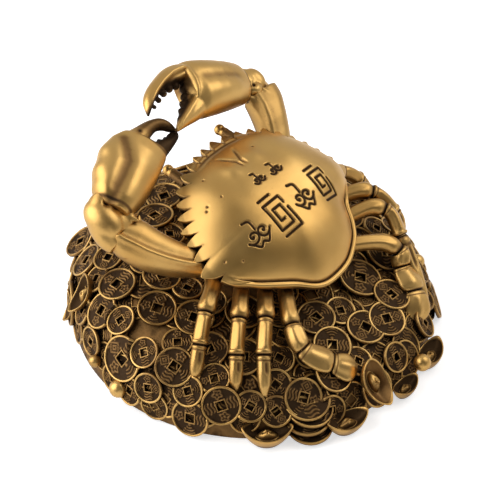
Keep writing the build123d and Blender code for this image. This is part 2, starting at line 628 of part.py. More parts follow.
def build():
    nodes = {}
    mound, mound_form, boss_ring = hollow_mound()
    plate, pad, plate_screws = underside(boss_ring)
    nodes["base_plate"] = plate
    nodes["felt_pad"] = pad
    nodes["plate_screws"] = plate_screws

    shell = shell_form(0)
    for tooth in teeth():
        shell += tooth
    carapace = shell - shell_form(SHELL_WALL)
    belly = belly_form(0)
    underbody = belly - belly_form(BELLY_WALL)
    for y in post_centres():
        underbody += rod((0, y, -BELLY_DEPTH), (0, 0, 1), BELLY_BOSS_HEIGHT, BELLY_BOSS_RADIUS)
    body_screws = []
    for y in post_centres():
        hole_depth = BELLY_BOSS_HEIGHT - SEAM
        underbody -= rod((0, y, -BELLY_DEPTH), (0, 0, 1), hole_depth, BODY_SCREW_RADIUS + CLEARANCE / 2)
        low = -BELLY_DEPTH - POST_LENGTH
        head = rod((0, y, low - BODY_SCREW_HEAD_HEIGHT), (0, 0, 1), BODY_SCREW_HEAD_HEIGHT,
                   BODY_SCREW_HEAD_RADIUS)
        shank = rod((0, y, low), (0, 0, 1), POST_LENGTH + hole_depth - SCREW_END_GAP, BODY_SCREW_RADIUS)
        body_screws.append(head + shank)

    crab = {}
    sockets = []
    thigh = (SWELL_SHARES, THIGH_HALF_WIDTH, THIGH_HALF_HEIGHT)
    shin = (SWELL_SHARES, SHIN_HALF_WIDTH, SHIN_HALF_HEIGHT)
    walking = (thigh, shin, (TIP_SWELL_SHARES, TIP_HALF_WIDTH, TIP_HALF_HEIGHT))
    swimming = (thigh, shin, (SWELL_SHARES, SHIN_BLADE_HALF_WIDTH, SHIN_BLADE_HALF_HEIGHT),
                (PADDLE_SWELL_SHARES, PADDLE_HALF_WIDTH, PADDLE_HALF_HEIGHT))
    for name, shares in LEG_SHARES.items():
        joints = [shell_point(place) for place in shares]
        if len(joints) == 4:
            words, forms = ("thigh", "shin", "tip"), walking
        else:
            words, forms = ("thigh", "knee", "shin", "paddle"), swimming
        pieces, socket = limb(joints, forms, [name + "_" + word for word in words], belly, shell)
        crab.update(pieces)
        sockets.append(socket)
    for side in CLAWS:
        pieces, socket = claw(side, belly, shell)
        crab.update(pieces)
        sockets.append(socket)
    for socket in sockets:
        underbody -= socket
    crab["carapace"] = carapace
    crab["underbody"] = underbody
    crab["body_screws"] = body_screws
    for name, side in (("left_eye", 1), ("right_eye", -1)):
        crab[name] = eye(side, shell, belly)
    for name, shape in crab.items():
        if isinstance(shape, list):
            nodes[name] = [crab_frame() * solid for solid in shape]
        else:
            nodes[name] = crab_frame() * shape

    ingots, beads = ornaments(mound_form)
    nodes["ingots"] = ingots
    nodes["beads"] = beads
    obstacles = []
    for name, shape in list(nodes.items()):
        if name in ("base_plate", "felt_pad", "plate_screws", "body_screws"):
            continue
        for solid in (shape if isinstance(shape, list) else [shape]):
            obstacles.append((solid, solid.bounding_box()))
    for size, group in coins(obstacles).items():
        nodes[size + "_coins"] = group
    nodes["mound_casting"] = mound
    return nodes


def main():
    nodes = build()
    shapes = {}
    for name, shape in nodes.items():
        solids = []
        for item in (shape if isinstance(shape, list) else [shape]):
            solids.extend(item.solids())
        shapes[name] = Compound(solids) if len(solids) > 1 else solids[0]
    boxes = [shape.bounding_box() for shape in shapes.values()]
    low = Vector(*(min(getattr(box.min, axis) for box in boxes) for axis in "XYZ"))
    high = Vector(*(max(getattr(box.max, axis) for box in boxes) for axis in "XYZ"))
    shift = Pos(-(low.X + high.X) / 2, -(low.Y + high.Y) / 2, -low.Z)
    os.makedirs("parts", exist_ok=True)
    for name, shape in shapes.items():
        export_step(shift * shape, "parts/" + name + ".step")
    size = high - low
    print("size", round(size.X, 1), round(size.Y, 1), round(size.Z, 1), "nodes", len(shapes))


main()
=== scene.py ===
"""Looks of the cast brass crab on its heap of coins. Lengths in the tables are millimetres."""
import json
import math

import bpy
import numpy as np
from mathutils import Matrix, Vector

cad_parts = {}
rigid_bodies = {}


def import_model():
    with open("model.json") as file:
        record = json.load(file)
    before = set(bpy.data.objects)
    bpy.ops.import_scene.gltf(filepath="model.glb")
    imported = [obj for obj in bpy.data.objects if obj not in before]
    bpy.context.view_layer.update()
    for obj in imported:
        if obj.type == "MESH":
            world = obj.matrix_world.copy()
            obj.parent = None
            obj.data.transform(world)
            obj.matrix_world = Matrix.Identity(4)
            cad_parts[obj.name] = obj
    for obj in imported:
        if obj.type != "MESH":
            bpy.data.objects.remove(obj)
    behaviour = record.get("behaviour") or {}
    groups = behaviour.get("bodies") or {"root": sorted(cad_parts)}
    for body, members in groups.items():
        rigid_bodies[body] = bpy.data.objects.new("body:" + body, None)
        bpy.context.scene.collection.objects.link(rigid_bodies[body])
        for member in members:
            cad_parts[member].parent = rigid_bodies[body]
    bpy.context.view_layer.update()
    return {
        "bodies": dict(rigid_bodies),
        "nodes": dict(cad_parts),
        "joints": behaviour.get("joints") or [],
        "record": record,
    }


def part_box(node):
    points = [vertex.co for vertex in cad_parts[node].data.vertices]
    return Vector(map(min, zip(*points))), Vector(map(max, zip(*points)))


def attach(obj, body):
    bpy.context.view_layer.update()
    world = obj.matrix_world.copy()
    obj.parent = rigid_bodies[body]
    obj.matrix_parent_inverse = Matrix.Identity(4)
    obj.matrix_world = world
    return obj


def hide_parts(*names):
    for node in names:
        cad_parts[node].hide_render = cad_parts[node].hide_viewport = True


MM = 0.001
BODY = "root"

# Camera of the photograph
VIEW_AZIMUTH = math.radians(130)
VIEW_ELEVATION = math.radians(42)
VIEW_DISTANCE = 1000
VIEW_TARGET = (-3.2, -4.9, 37.6)
SENSOR = 36
IMAGE_PIXELS = 500
MM_PER_PIXEL = 0.55

# Place of the crab's body over the heap's centre, as in the part
BODY_PLACE = (-1.5, 9, 72)
BODY_PITCH = math.radians(26)

# Shell
HALF_WIDTH = 53.5
SHELL_RISE = 19
MARGIN_SHARES = (
    (0.0, -0.905), (0.24, -0.885), (0.47, -0.8), (0.63, -0.69), (0.77, -0.52), (0.87, -0.355),
    (0.955, -0.15), (1.0, 0.04), (0.97, 0.17), (0.9, 0.29), (0.76, 0.43), (0.58, 0.6),
    (0.41, 0.72), (0.22, 0.825), (0.0, 0.86),
)
# Tips of the saw teeth on the left and on the right, from the front's middle
LEFT_TEETH = (
    (0.056, -0.964), (0.197, -0.945), (0.313, -0.922), (0.463, -0.86), (0.632, -0.763), (0.737, -0.652),
    (0.841, -0.529), (0.928, -0.4), (0.979, -0.265), (1.038, -0.1), (1.1, 0.06),
)
RIGHT_TEETH = (
    (-0.1, -0.972), (-0.25, -0.945), (-0.404, -0.897), (-0.538, -0.837), (-0.67, -0.745), (-0.78, -0.63),
    (-0.87, -0.5), (-0.94, -0.36), (-0.985, -0.22), (-1.04, -0.06), (-1.09, 0.08),
)
TOOTH_ROUNDNESS = 1.5
VALLEY_SHARE = 0.935
SHELL_SHIFT = (-1.6, 0.6, 1.0)
DOME_CURVE = 2.4
DOME_EDGES = (1.0, 0.78)
# How far the rear margin swings in and out, by angle about the shell's middle
WAVE_SHARES = (
    (0, 1.0), (20, 1.05), (50, 1.01), (65, 1.02), (80, 1.08), (95, 1.085), (120, 1.105),
    (135, 1.055), (150, 0.985), (165, 0.985), (180, 1.0),
)
# The right side of the shell stands a little higher
RIGHT_LIFT = 3.2
SHELL_COLUMNS = 640
SHELL_ROWS = 150
SHELL_THICKNESS = 3
# Rolled rim along the rear: where it starts on the margin, its width, height and groove
RIM_START = math.radians(12)
RIM_WIDTH = 2.9
RIM_HEIGHT = 1.5
GROOVE_DEPTH = 1.2
# Groove behind the eyes: its inset, width and depth, and where it fades out from the front's middle
BROW_INSET = 3.9
BROW_WIDTH = 1.2
BROW_DEPTH = 0.9
BROW_SPAN = (math.radians(14), math.radians(26))
# Swellings and dents on both sides: height, place across and its width, place along and its width
SIDE_SWELLS = (
    (1.1, 8.5, 4.5, -29, 5), (0.9, 25, 12, -16, 12), (-0.9, 17, 5, -24, 9), (0.8, 19, 14, 24, 12),
    (-0.6, 36, 5, 12, 16),
)
MIDDLE_SWELL = (0.9, 0, 10, 14, 18)
FORK_DEPTH = 1.3
PITS = ((32.9, -21.9), (34.9, -20.2), (25.0, -21.0), (22, -35), (-14, -33), (40, 12), (47, 6))
PIT_RADIUS = 0.55
PIT_DEPTH = 0.7

# Heap, as in the part
HEAP_RADIUS = 100
HEAP_HEIGHT = 41.5
HEAP_FALL = 0.15
HEAP_SQUARENESS = 5
HEAP_FOOT = 0.6


def norm(vector):
    vector = np.asarray(vector, float)
    return vector / np.linalg.norm(vector, axis=-1, keepdims=True)


def ease(low, high, value):
    t = np.clip((value - low) / (high - low), 0, 1)
    return t * t * (3 - 2 * t)


def bump(value, centre, width):
    return np.exp(-((value - centre) / width) ** 2)


def length(vectors):
    return np.linalg.norm(vectors, axis=1)


def turns(count):
    """Angles evenly spread round a whole turn."""
    return np.linspace(0, 2 * np.pi, count, endpoint=False)


def space(x, y, z):
    return np.stack(np.broadcast_arrays(x, y, z), axis=-1)


def heap_centre():
    low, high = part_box("base_plate")
    return np.array([(low[0] + high[0]) / 2, (low[1] + high[1]) / 2, 0]) / MM


def to_heap(points):
    """Points of the crab's body, in the heap's frame."""
    points = np.asarray(points, float)
    cos, sin = math.cos(BODY_PITCH), math.sin(BODY_PITCH)
    x, y, z = points[..., 0], points[..., 1], points[..., 2]
    return space(x, y * cos + z * sin, z * cos - y * sin) + np.array(BODY_PLACE)


def catmull(points, count, closed=False):
    """Smooth line through points, evenly spread by length."""
    points = np.asarray(points, float)
    if closed:
        padded = np.concatenate([points[-1:], points, points[:2]])
    else:
        padded = np.concatenate([2 * points[:1] - points[1:2], points, 2 * points[-1:] - points[-2:-1]])
    t = np.linspace(0, 1, 24, endpoint=False)[:, None]
    pieces = []
    for a, b, c, d in zip(padded, padded[1:], padded[2:], padded[3:]):
        pieces.append(0.5 * (2 * b + (c - a) * t + (2 * a - 5 * b + 4 * c - d) * t**2
                             + (3 * b - a - 3 * c + d) * t**3))
    line = np.concatenate(pieces + [padded[-2:-1]])
    steps = np.concatenate([[0], np.cumsum(length(np.diff(line, axis=0)))])
    places = np.linspace(0, steps[-1], count)
    return np.stack([np.interp(places, steps, line[:, k]) for k in range(line.shape[1])], axis=1)


def line_distance(x, y, lines):
    """Distance of each point of a plane from the nearest of some lines."""
    points = np.stack([x, y], axis=1)
    nearest = np.full(len(points), 99.0)
    for line in lines:
        line = np.array(line, float)
        for start, run in zip(line, np.diff(line, axis=0)):
            share = np.clip((points - start) @ run / (run @ run), 0, 1)
            nearest = np.minimum(nearest, length(points - start - share[:, None] * run))
    return nearest


def ring_faces(rows, columns, count):
    """Quads between closed rings; a number past the count of vertices starts again at the first."""
    row = np.arange(rows - 1)[:, None] * columns
    column = np.arange(columns)
    after = (column + 1) % columns
    quads = np.stack([row + column, row + after, row + columns + after, row + columns + column], axis=-1)
    return (quads.reshape(-1, 4) % count).tolist()


def lathe_caps(rings):
    """Vertices and faces of a closed tube from its rings."""
    rows, columns = rings.shape[:2]
    vertices = np.concatenate([rings.reshape(-1, 3), rings[0].mean(0)[None], rings[-1].mean(0)[None]])
    start, last = rows * columns, (rows - 1) * columns
    faces = ring_faces(rows, columns, start)
    for k in range(columns):
        after = (k + 1) % columns
        faces += [[start, after, k], [start + 1, last + k, last + after]]
    return vertices, faces


def join(parts):
    """One form from several: vertices, faces and, where they have it, shares of patina and painted shade."""
    vertices, faces, patina_and_shade_parts, count = [], [], [], 0
    for points, polygons, *patina_and_shade in parts:
        vertices.append(points)
        faces += [[index + count for index in face] for face in polygons]
        patina_and_shade_parts += patina_and_shade
        count += len(points)
    return np.concatenate(vertices), faces, *([np.concatenate(patina_and_shade_parts)] if patina_and_shade_parts else [])


def new_mesh(name, vertices, faces):
    mesh = bpy.data.meshes.new(name)
    mesh.from_pydata((np.asarray(vertices) * MM).tolist(), [], faces)
    mesh.update()
    return mesh


def new_object(name, data):
    thing = bpy.data.objects.new(name, data)
    bpy.context.scene.collection.objects.link(thing)
    return thing


def inside_out(vertices, faces):
    volume = 0.0
    for size in (3, 4):
        corners = vertices[np.array([face for face in faces if len(face) == size], int).reshape(-1, size)]
        for k in range(1, size - 1):
            volume += np.einsum("ij,ij->", corners[:, 0], np.cross(corners[:, k], corners[:, k + 1]))
    return volume < 0


def piece(name, form, material, nodes):
    """A finished object: vertices in the heap's frame, faces, and the share of dark patina and painted shade
    at each.
    """
    vertices, faces, patina_and_shade = form
    vertices = vertices + heap_centre()
    mesh = new_mesh(name, vertices, faces)
    if inside_out(vertices - vertices.mean(0), faces):
        mesh.flip_normals()
    mesh.polygons.foreach_set("use_smooth", [True] * len(mesh.polygons))
    mesh.attributes.new("patina_and_shade", "FLOAT", "POINT").data.foreach_set("value", patina_and_shade)
    mesh.materials.append(material)
    thing = new_object(name, mesh)
    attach(thing, BODY)
    if nodes:
        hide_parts(*nodes)


def neighbours(mesh):
    edges = np.empty(len(mesh.edges) * 2, int)
    mesh.edges.foreach_get("vertices", edges)
    edges = edges.reshape(-1, 2)
    start = np.concatenate([edges[:, 0], edges[:, 1]])
    end = np.concatenate([edges[:, 1], edges[:, 0]])
    return start, end, np.bincount(start, minlength=len(mesh.vertices))


def average(values, links):
    start, end, number = links
    if values.ndim == 1:
        return np.bincount(start, values[end], len(number)) / number
    return np.stack([average(values[:, k], links) for k in range(values.shape[1])], axis=1)


def cast(parts, voxel, rounds):
    """Melts closed forms into one skin; returns its vertices, faces, normals and links."""
    mesh = new_mesh("melt", *join(parts))
    thing = new_object("melt", mesh)
    remesh = thing.modifiers.new("melt", "REMESH")
    remesh.mode = "VOXEL"
    remesh.voxel_size = voxel * MM
    graph = bpy.context.evaluated_depsgraph_get()
    skin = bpy.data.meshes.new_from_object(thing.evaluated_get(graph))
    bpy.data.objects.remove(thing)
    bpy.data.meshes.remove(mesh)
    vertices = np.empty(len(skin.vertices) * 3)
    skin.vertices.foreach_get("co", vertices)
    vertices = vertices.reshape(-1, 3) / MM
    links = neighbours(skin)
    for _ in range(rounds):
        vertices = vertices + 0.5 * (average(vertices, links) - vertices)
    faces = [list(polygon.vertices) for polygon in skin.polygons]
    normals = skin_normals(vertices, skin)
    bpy.data.meshes.remove(skin)
    return vertices, faces, normals, links


def skin_normals(vertices, mesh):
    mesh.vertices.foreach_set("co", (vertices * MM).ravel())
    mesh.update()
    normals = np.empty(len(vertices) * 3)
    mesh.vertex_normals.foreach_get("vector", normals)
    return normals.reshape(-1, 3)


def hollowness(vertices, normals, links, rounds):
    """How far each vertex lies in a hollow, smoothed: positive in recesses."""
    depth = np.einsum("ij,ij->i", average(vertices, links) - vertices, normals)
    for _ in range(rounds):
        depth = average(depth, links)
    return depth


# Colours of the brass
GOLD = (0.6, 0.345, 0.1, 1)
PALE_GOLD = (0.72, 0.45, 0.15, 1)
BROWN_GOLD = (0.26, 0.142, 0.05, 1)
# The darkest colour: the patina's, also used for painted shade
PATINA_AND_SHADE = (0.046, 0.027, 0.015, 1)


def node(tree, kind, **values):
    new = tree.nodes.new(kind)
    for key, value in values.items():
        if hasattr(new, key):
            setattr(new, key, value)
        else:
            new.inputs[key.replace("_", " ")].default_value = value
    return new


def feed(tree, socket, value):
    """Links a socket to another node's output, or gives it a fixed value."""
    if isinstance(value, bpy.types.NodeSocket):
        tree.links.new(value, socket)
    else:
        socket.default_value = value


def maths(tree, operation, first, second, clamp=False):
    new = node(tree, "ShaderNodeMath", operation=operation, use_clamp=clamp)
    for socket, value in zip(new.inputs, (first, second)):
        feed(tree, socket, value)
    return new.outputs[0]


def mix_colours(tree, factor, first, second):
    new = node(tree, "ShaderNodeMix", data_type="RGBA")
    for key, value in (("Factor", factor), (6, first), (7, second)):
        feed(tree, new.inputs[key], value)
    return new.outputs[2]


def noise(tree, scale, detail=4.0, roughness=0.55):
    coordinates = node(tree, "ShaderNodeTexCoord").outputs["Object"]
    texture = node(tree, "ShaderNodeTexNoise", Scale=scale, Detail=detail, Roughness=roughness)
    tree.links.new(coordinates, texture.inputs["Vector"])
    return texture.outputs["Fac"]


def ramp(tree, value, low, high):
    new = node(tree, "ShaderNodeMapRange", interpolation_type="SMOOTHSTEP")
    tree.links.new(value, new.inputs["Value"])
    new.inputs["From Min"].default_value = low
    new.inputs["From Max"].default_value = high
    return new.outputs["Result"]


def new_material(name):
    material = bpy.data.materials.new(name)
    material.use_nodes = True
    return material, material.node_tree


def finish(tree, colour, metallic, roughness, height, grain, depth):
    """Feeds a material's shader, with a fine bump."""
    surface = node(tree, "ShaderNodeBump", Strength=grain, Distance=depth * MM)
    tree.links.new(height, surface.inputs["Height"])
    shader = tree.nodes["Principled BSDF"]
    for key, value in (("Base Color", colour), ("Metallic", metallic), ("Roughness", roughness),
                       ("Normal", surface.outputs["Normal"])):
        feed(tree, shader.inputs[key], value)


def antique_brass(name, tarnish, reach, roughness=0.3, grain=0.12, base=GOLD, pale=PALE_GOLD):
    """Satin brass: dark patina in recesses, painted shade where other parts stand close, darkening from the
    mesh's attribute of patina and painted shade, and worn bright elsewhere.
    """
    material, tree = new_material(name)
    patina_and_shade = node(tree, "ShaderNodeAttribute", attribute_name="patina_and_shade").outputs["Fac"]
    # Ambient occlusion darkens recesses as patina, and paints shade where other parts stand close
    shade = node(tree, "ShaderNodeAmbientOcclusion", samples=8, Distance=reach * MM).outputs["AO"]
    recess = ramp(tree, maths(tree, "SUBTRACT", 1.0, shade), 0.35, 0.95)
    patches = ramp(tree, noise(tree, 55.0), 0.35, 0.75)
    specks = ramp(tree, noise(tree, 420.0, 6.0, 0.7), 0.56, 0.72)
    dirt_and_shade = maths(tree, "ADD", recess, patina_and_shade, True)
    dirt_and_shade = maths(tree, "ADD", dirt_and_shade, maths(tree, "MULTIPLY", specks, 0.12), True)
    dirt_and_shade = maths(tree, "MAXIMUM", dirt_and_shade, maths(tree, "MULTIPLY", patches, tarnish))
    gold = mix_colours(tree, ramp(tree, noise(tree, 18.0, 3.0), 0.3, 0.7), base, pale)
    # Browner, then nearly black, as patina, dirt and painted shade add up
    worn = mix_colours(tree, ramp(tree, dirt_and_shade, 0.0, 0.5), gold, BROWN_GOLD)
    colour = mix_colours(tree, ramp(tree, dirt_and_shade, 0.4, 1.0), worn, PATINA_AND_SHADE)
    rough = maths(tree, "ADD", roughness, maths(tree, "MULTIPLY", dirt_and_shade, 0.28))
    rough = maths(tree, "ADD", rough, maths(tree, "MULTIPLY", noise(tree, 160.0), 0.08))
    fine = maths(tree, "MULTIPLY", noise(tree, 1500.0, 3.0), 0.3)
    height = maths(tree, "ADD", noise(tree, 300.0, 5.0), fine)
    finish(tree, colour, 1.0, rough, height, grain, 0.35)
    return material


def plain_material(name, colour, metallic, roughness, scale, grain):
    """A plain finish with fine grain and slight changes of colour."""
    material, tree = new_material(name)
    darker = (*(0.6 * value for value in colour[:3]), 1)
    mixed = mix_colours(tree, noise(tree, scale), darker, colour)
    finish(tree, mixed, metallic, roughness, noise(tree, 4 * scale), grain, 0.3)
    return material


def margin_radius(angles):
    """Radius of the shell's smooth margin at each angle about its middle."""
    half = np.array(MARGIN_SHARES) * HALF_WIDTH
    other = half[-2:0:-1] * (-1, 1)
    line = catmull(np.concatenate([half, other]), 1400, closed=True)
    turn = np.unwrap(np.arctan2(line[:, 1], line[:, 0])) % (2 * np.pi)
    order = np.argsort(turn)
    angles = angles % (2 * np.pi)
    radius = np.interp(angles, turn[order], length(line)[order], period=2 * np.pi)
    wave = catmull(WAVE_SHARES, 200)
    turned = np.degrees(angles)
    return radius * np.where(turned < 180, np.interp(turned, wave[:, 0], wave[:, 1]), 1)


def toothed_radius(angles):
    """Outline with saw teeth between the front's middle and the side spines."""
    smooth = margin_radius(angles)
    radius = smooth.copy()
    for side, shares in ((1, LEFT_TEETH), (-1, RIGHT_TEETH)):
        turned = np.arctan2(np.cos(angles) * side, -np.sin(angles))
        tips = np.array(shares) * HALF_WIDTH
        places = np.arctan2(tips[:, 0] * side, -tips[:, 1])
        for index, (place, reach) in enumerate(zip(places, length(tips))):
            before = (places[index - 1] + place) / 2 if index else 0.0
            after = (place + places[index + 1]) / 2 if index + 1 < len(places) else place + 0.16
            rise = np.where(turned < place, (turned - before) / (place - before),
                            (after - turned) / (after - place))
            valley = smooth * VALLEY_SHARE
            near = (turned >= before) & (turned <= after)
            rounded = 1 - (1 - np.clip(rise, 0, 1)) ** TOOTH_ROUNDNESS
            radius = np.where(near, valley + (reach - valley) * rounded, radius)
    return radius


def rear_share(angles):
    """One along the rear margin, fading out beside the side spines."""
    turned = np.minimum((angles - RIM_START) % (2 * np.pi), (np.pi - RIM_START - angles) % (2 * np.pi))
    inside = np.sin(angles) > math.sin(RIM_START)
    return np.where(inside, ease(0, 0.35, turned), 0)


def spiral(x, y, windings, size, start):
    t = np.linspace(0, 1, 26)[:, None]
    angle = start + windings * 2 * np.pi * t
    return np.concatenate([x + size * t * np.cos(angle), y + size * t * np.sin(angle)], axis=1)


# Cloud scrolls and frets engraved in a row across the back: place along the row, height, size
ENGRAVED_ROW = ((26, 6.5), (9, 7.2), (-9, 7.0), (-26, 6.2))
ENGRAVED_PAIR = ((3, -15.5, 3.6), (-9, -14.5, 3.8))
STROKE_WIDTH = 0.8
STROKE_DEPTH = 0.8


def fret(x, y, size):
    """A square meander: lines of a key pattern in a square."""
    inner = [(-1, -0.5), (-1, -1.1), (1, -1.1), (1, 1.1), (-0.5, 1.1), (-0.5, -0.5), (0.45, -0.5),
             (0.45, 0.5), (0, 0.5)]
    lines = [inner, [(-1, 0), (-1, 1.6), (1, 1.6)], [(-0.4, -1.6), (1, -1.6)]]
    return [np.array(line) * size * (0.8, 1.0) + (x, y) for line in lines]


def cloud(x, y, size):
    """A cloud head: two curls that meet over a stem."""
    curls = [spiral(x - 0.48 * size, y + 0.1 * size, 1.35, 0.62 * size, 0.6),
             spiral(x + 0.48 * size, y + 0.1 * size, -1.35, 0.62 * size, math.pi - 0.6)]
    stem = np.array([(0, -0.3), (0, -1.1), (0.5, -1.3)]) * size + (x, y)
    crown = np.array([(-0.9, 0.5), (-0.4, 1.1), (0, 0.85), (0.4, 1.1), (0.9, 0.5)]) * size + (x, y)
    return curls + [catmull(stem, 12)] + ([catmull(crown, 24)] if size > 5 else [])


def engraving():
    strokes = []
    for index, (x, size) in enumerate(ENGRAVED_ROW):
        strokes += (fret if index % 2 else cloud)(x, 6.0, size)
    for x, y, size in ENGRAVED_PAIR:
        strokes += cloud(x, y, size)
    return strokes


def swelling(x, y, swell):
    height, across, across_width, along, along_width = swell
    return height * bump(x, across, across_width) * bump(y, along, along_width)


def shell(material):
    angles = turns(SHELL_COLUMNS)[None]
    shares = np.linspace(0.004, 1, SHELL_ROWS)[:, None]
    smooth = margin_radius(angles)
    toothed = toothed_radius(angles)
    rear = rear_share(angles)
    edge = ease(0.9, 1.0, shares)
    radius = shares * (smooth + edge * (toothed - smooth))
    x, y = radius * np.cos(angles), radius * np.sin(angles)
    inset = smooth - radius
    # the dome ends at the rim's groove along the rear
    reach = np.clip(radius / smooth + rear * (RIM_WIDTH / smooth) * 0.75, 0, 1)
    full = np.maximum(rear, ease(0.2, 0.7, -np.cos(angles)))
    power = DOME_EDGES[0] + (DOME_EDGES[1] - DOME_EDGES[0]) * full
    height = SHELL_RISE * (1 - reach**DOME_CURVE) ** power
    height += rear * RIM_HEIGHT * np.sqrt(np.clip(1 - (2 * inset / RIM_WIDTH - 1) ** 2, 0, 1))
    groove = rear * bump(inset, RIM_WIDTH + 0.2, 0.6)
    front = 1 - ease(*BROW_SPAN, np.abs(angles - 1.5 * np.pi))
    brow = front * bump(inset, BROW_INSET, BROW_WIDTH)
    height += 0.3 * front * ease(BROW_INSET, 1.5, inset) - BROW_DEPTH * brow - GROOVE_DEPTH * groove
    # a forked dent behind the eyes, and low swellings over the organs
    fork = bump(np.abs(x) - 0.5, 1.0 + 0.55 * np.clip(-31 - y, 0, 9), 1.0) * ease(-41, -35, y)
    fork = fork * (1 - ease(-30, -25, y))
    height += swelling(x, y, MIDDLE_SWELL) - FORK_DEPTH * fork
    for swell in SIDE_SWELLS:
        height += swelling(x, y, swell) + swelling(-x, y, swell)
    pits = np.max([bump(np.hypot(x - px, y - py), 0, PIT_RADIUS) for px, py in PITS], axis=0)
    near_line = line_distance(x.ravel(), y.ravel(), engraving()).reshape(x.shape)
    lines = 1 - ease(0.35 * STROKE_WIDTH, 1.3 * STROKE_WIDTH, near_line)
    height -= PIT_DEPTH * pits + STROKE_DEPTH * lines
    # the teeth fall on beyond the margin
    height -= 0.6 * np.clip(radius - smooth, 0, None) * (1 - rear)
    lift = RIGHT_LIFT * ease(2, 46, -x)
    top = space(x, y, height + lift)
    below = space(0.985 * x, 0.985 * y, np.minimum(height - 1.2, -SHELL_THICKNESS))[::-3]
    vertices, faces = lathe_caps(np.concatenate([top, below]))
    valley = edge * np.clip((smooth * 0.995 - toothed) / 1.2, 0, 1) * (1 - rear)
    patina_and_shade = 0.95 * lines + 0.9 * pits + 0.75 * groove + 0.45 * brow + 0.6 * fork + 0.25 * valley
    patina_and_shade = np.concatenate([np.clip(patina_and_shade, 0, 1).ravel(), np.full(below[..., 0].size, 0.7), (0, 0.7)])
    form = (to_heap(vertices + SHELL_SHIFT), faces, patina_and_shade)
    piece("carapace_skin", form, material, ["carapace"])


# Claws: outlines in the claw's plane from the wrist (along, across), half thickness along each form
CLAWS = {
    "right": dict(
        base=(-48, -66, 3), along=(0.9, -0.36, 0.24), across=(-0.1, -1.0, 0.15),
        palm=(((0, 8), (2, 10.5), (6, 12.2), (19, 13.5), (32, 14.2), (39, 13.8), (44, 12)),
              ((0, -9), (3, -12), (8, -13.5), (19, -16), (29, -18), (38, -19.5), (42, -17)),
              (6.5, 9, 11, 12, 12, 11, 8)),
        fixed=(((30, 6), (37, 1), (40, -5), (46, -10), (52, -16), (60.5, -27.5)),
               ((28, -17), (36, -19), (44, -22), (51, -24.5), (56, -26.5), (60, -28)),
               (6.5, 7.5, 7, 5, 3.2, 0.7)),
        moving=(((38, 11.5), (46, 12), (53, 10), (60, 5.5), (68, -1), (73, -8), (74.5, -17)),
                ((38, 2), (45, 1.5), (51, 0), (57, -2), (63, -6), (68, -10.5), (73.5, -17.5)),
                (8, 7.5, 6.6, 5.6, 4.6, 3.2, 0.7)),
        fixed_teeth=(((43, -2), 2.6), ((45, -7), 2.4), ((48, -11), 2.1), ((51, -15), 1.8),
                     ((54, -19.5), 1.4)),
        moving_teeth=(((48, 0), 2.2), ((53, -1.5), 2.2), ((58, -4.2), 2.0), ((63, -8), 1.7),
                      ((67.5, -12), 1.3)),
        mouth=((60, -27), (54, -19), (48, -11.5), (41, -4), (43, 0), (50, 0), (57, -2), (63, -6.5),
               (69, -12), (73, -17)),
        mouth_reach=3.0,
        seam=1.0,
    ),
    "left": dict(
        base=(68, -53, 5), along=(-0.9, -0.44, 0.07), across=(0.5, -0.85, 0.1),
        palm=(((-5, 7), (-2, 11), (2, 14), (8, 16.5), (14, 17.8), (21, 18.4), (28, 18.2), (34, 15.8),
               (41, 11.5)),
              ((-6, -8), (1, -12), (9, -14), (21, -15.3), (31, -15.6), (37, -15.5), (41, -14.5)),
              (8.5, 10.5, 11, 11, 10, 8.6, 7)),
        fixed=(((37, 1), (42, -4.5), (46, -8), (50, -11), (54.5, -12), (57, -15.5)),
               ((35, -14), (40, -15.2), (46, -16.4), (51, -17.2), (54, -17.4), (56.5, -16.2)),
               (6.5, 6, 5, 4, 3, 0.7)),
        moving=(((38, 10), (42, 9), (47, 6), (51, 3.6), (55, 0.5), (58.5, -3.5), (59.6, -9), (57.4, -15.6)),
                ((38, -2), (42, -3), (46, -3.5), (51, -5), (53.6, -8), (54.4, -11), (55, -13),
                 (56.8, -15.8)),
                (6.5, 6, 5.4, 5, 4.4, 3.6, 2.4, 0.7)),
        fixed_teeth=(((43.5, -5.5), 1.3), ((46.4, -8.0), 1.3), ((49.4, -10.4), 1.1), ((52, -11.5), 0.9)),
        moving_teeth=(),
        mouth=((43, -5), (47, -5), (52, -8), (54, -12), (50, -11), (46, -8)),
        mouth_reach=4.5,
        seam=-3.0,
    ),
}
CLAW_VOXEL = 0.5
BLADE_ROWS = 60
BLADE_COLUMNS = 44
RECESS_GAIN = 9.0
# Rim of the right claw's mouth, rib of its finger, and trough of the left palm: along and across the claw
RIGHT_PALM_RIM = ((57, -24), (50, -18), (44, -12), (41.2, -6), (41, -1), (41.4, 3), (42, 7))
RIGHT_FINGER_RIB = ((44, 8), (52, 5.6), (59, 1.2), (66, -4.8), (70, -10), (73, -16))
LEFT_PALM_VALLEY = ((34, 10), (28, 7.2), (21, 4.0), (12.7, 4.0), (4, 4.3), (-5, 3.5))


def claw_frame(plan):
    along = norm(plan["along"])
    across = np.array(plan["across"], float)
    across = norm(across - along * (across @ along))
    normal = np.cross(along, across)
    return np.array(plan["base"], float), along, across, normal * np.sign(normal[2])


def in_claw(points, frame):
    """Along, across and height over the claw's plane."""
    base, along, across, normal = frame
    offset = points - base
    return offset @ along, offset @ across, offset @ normal


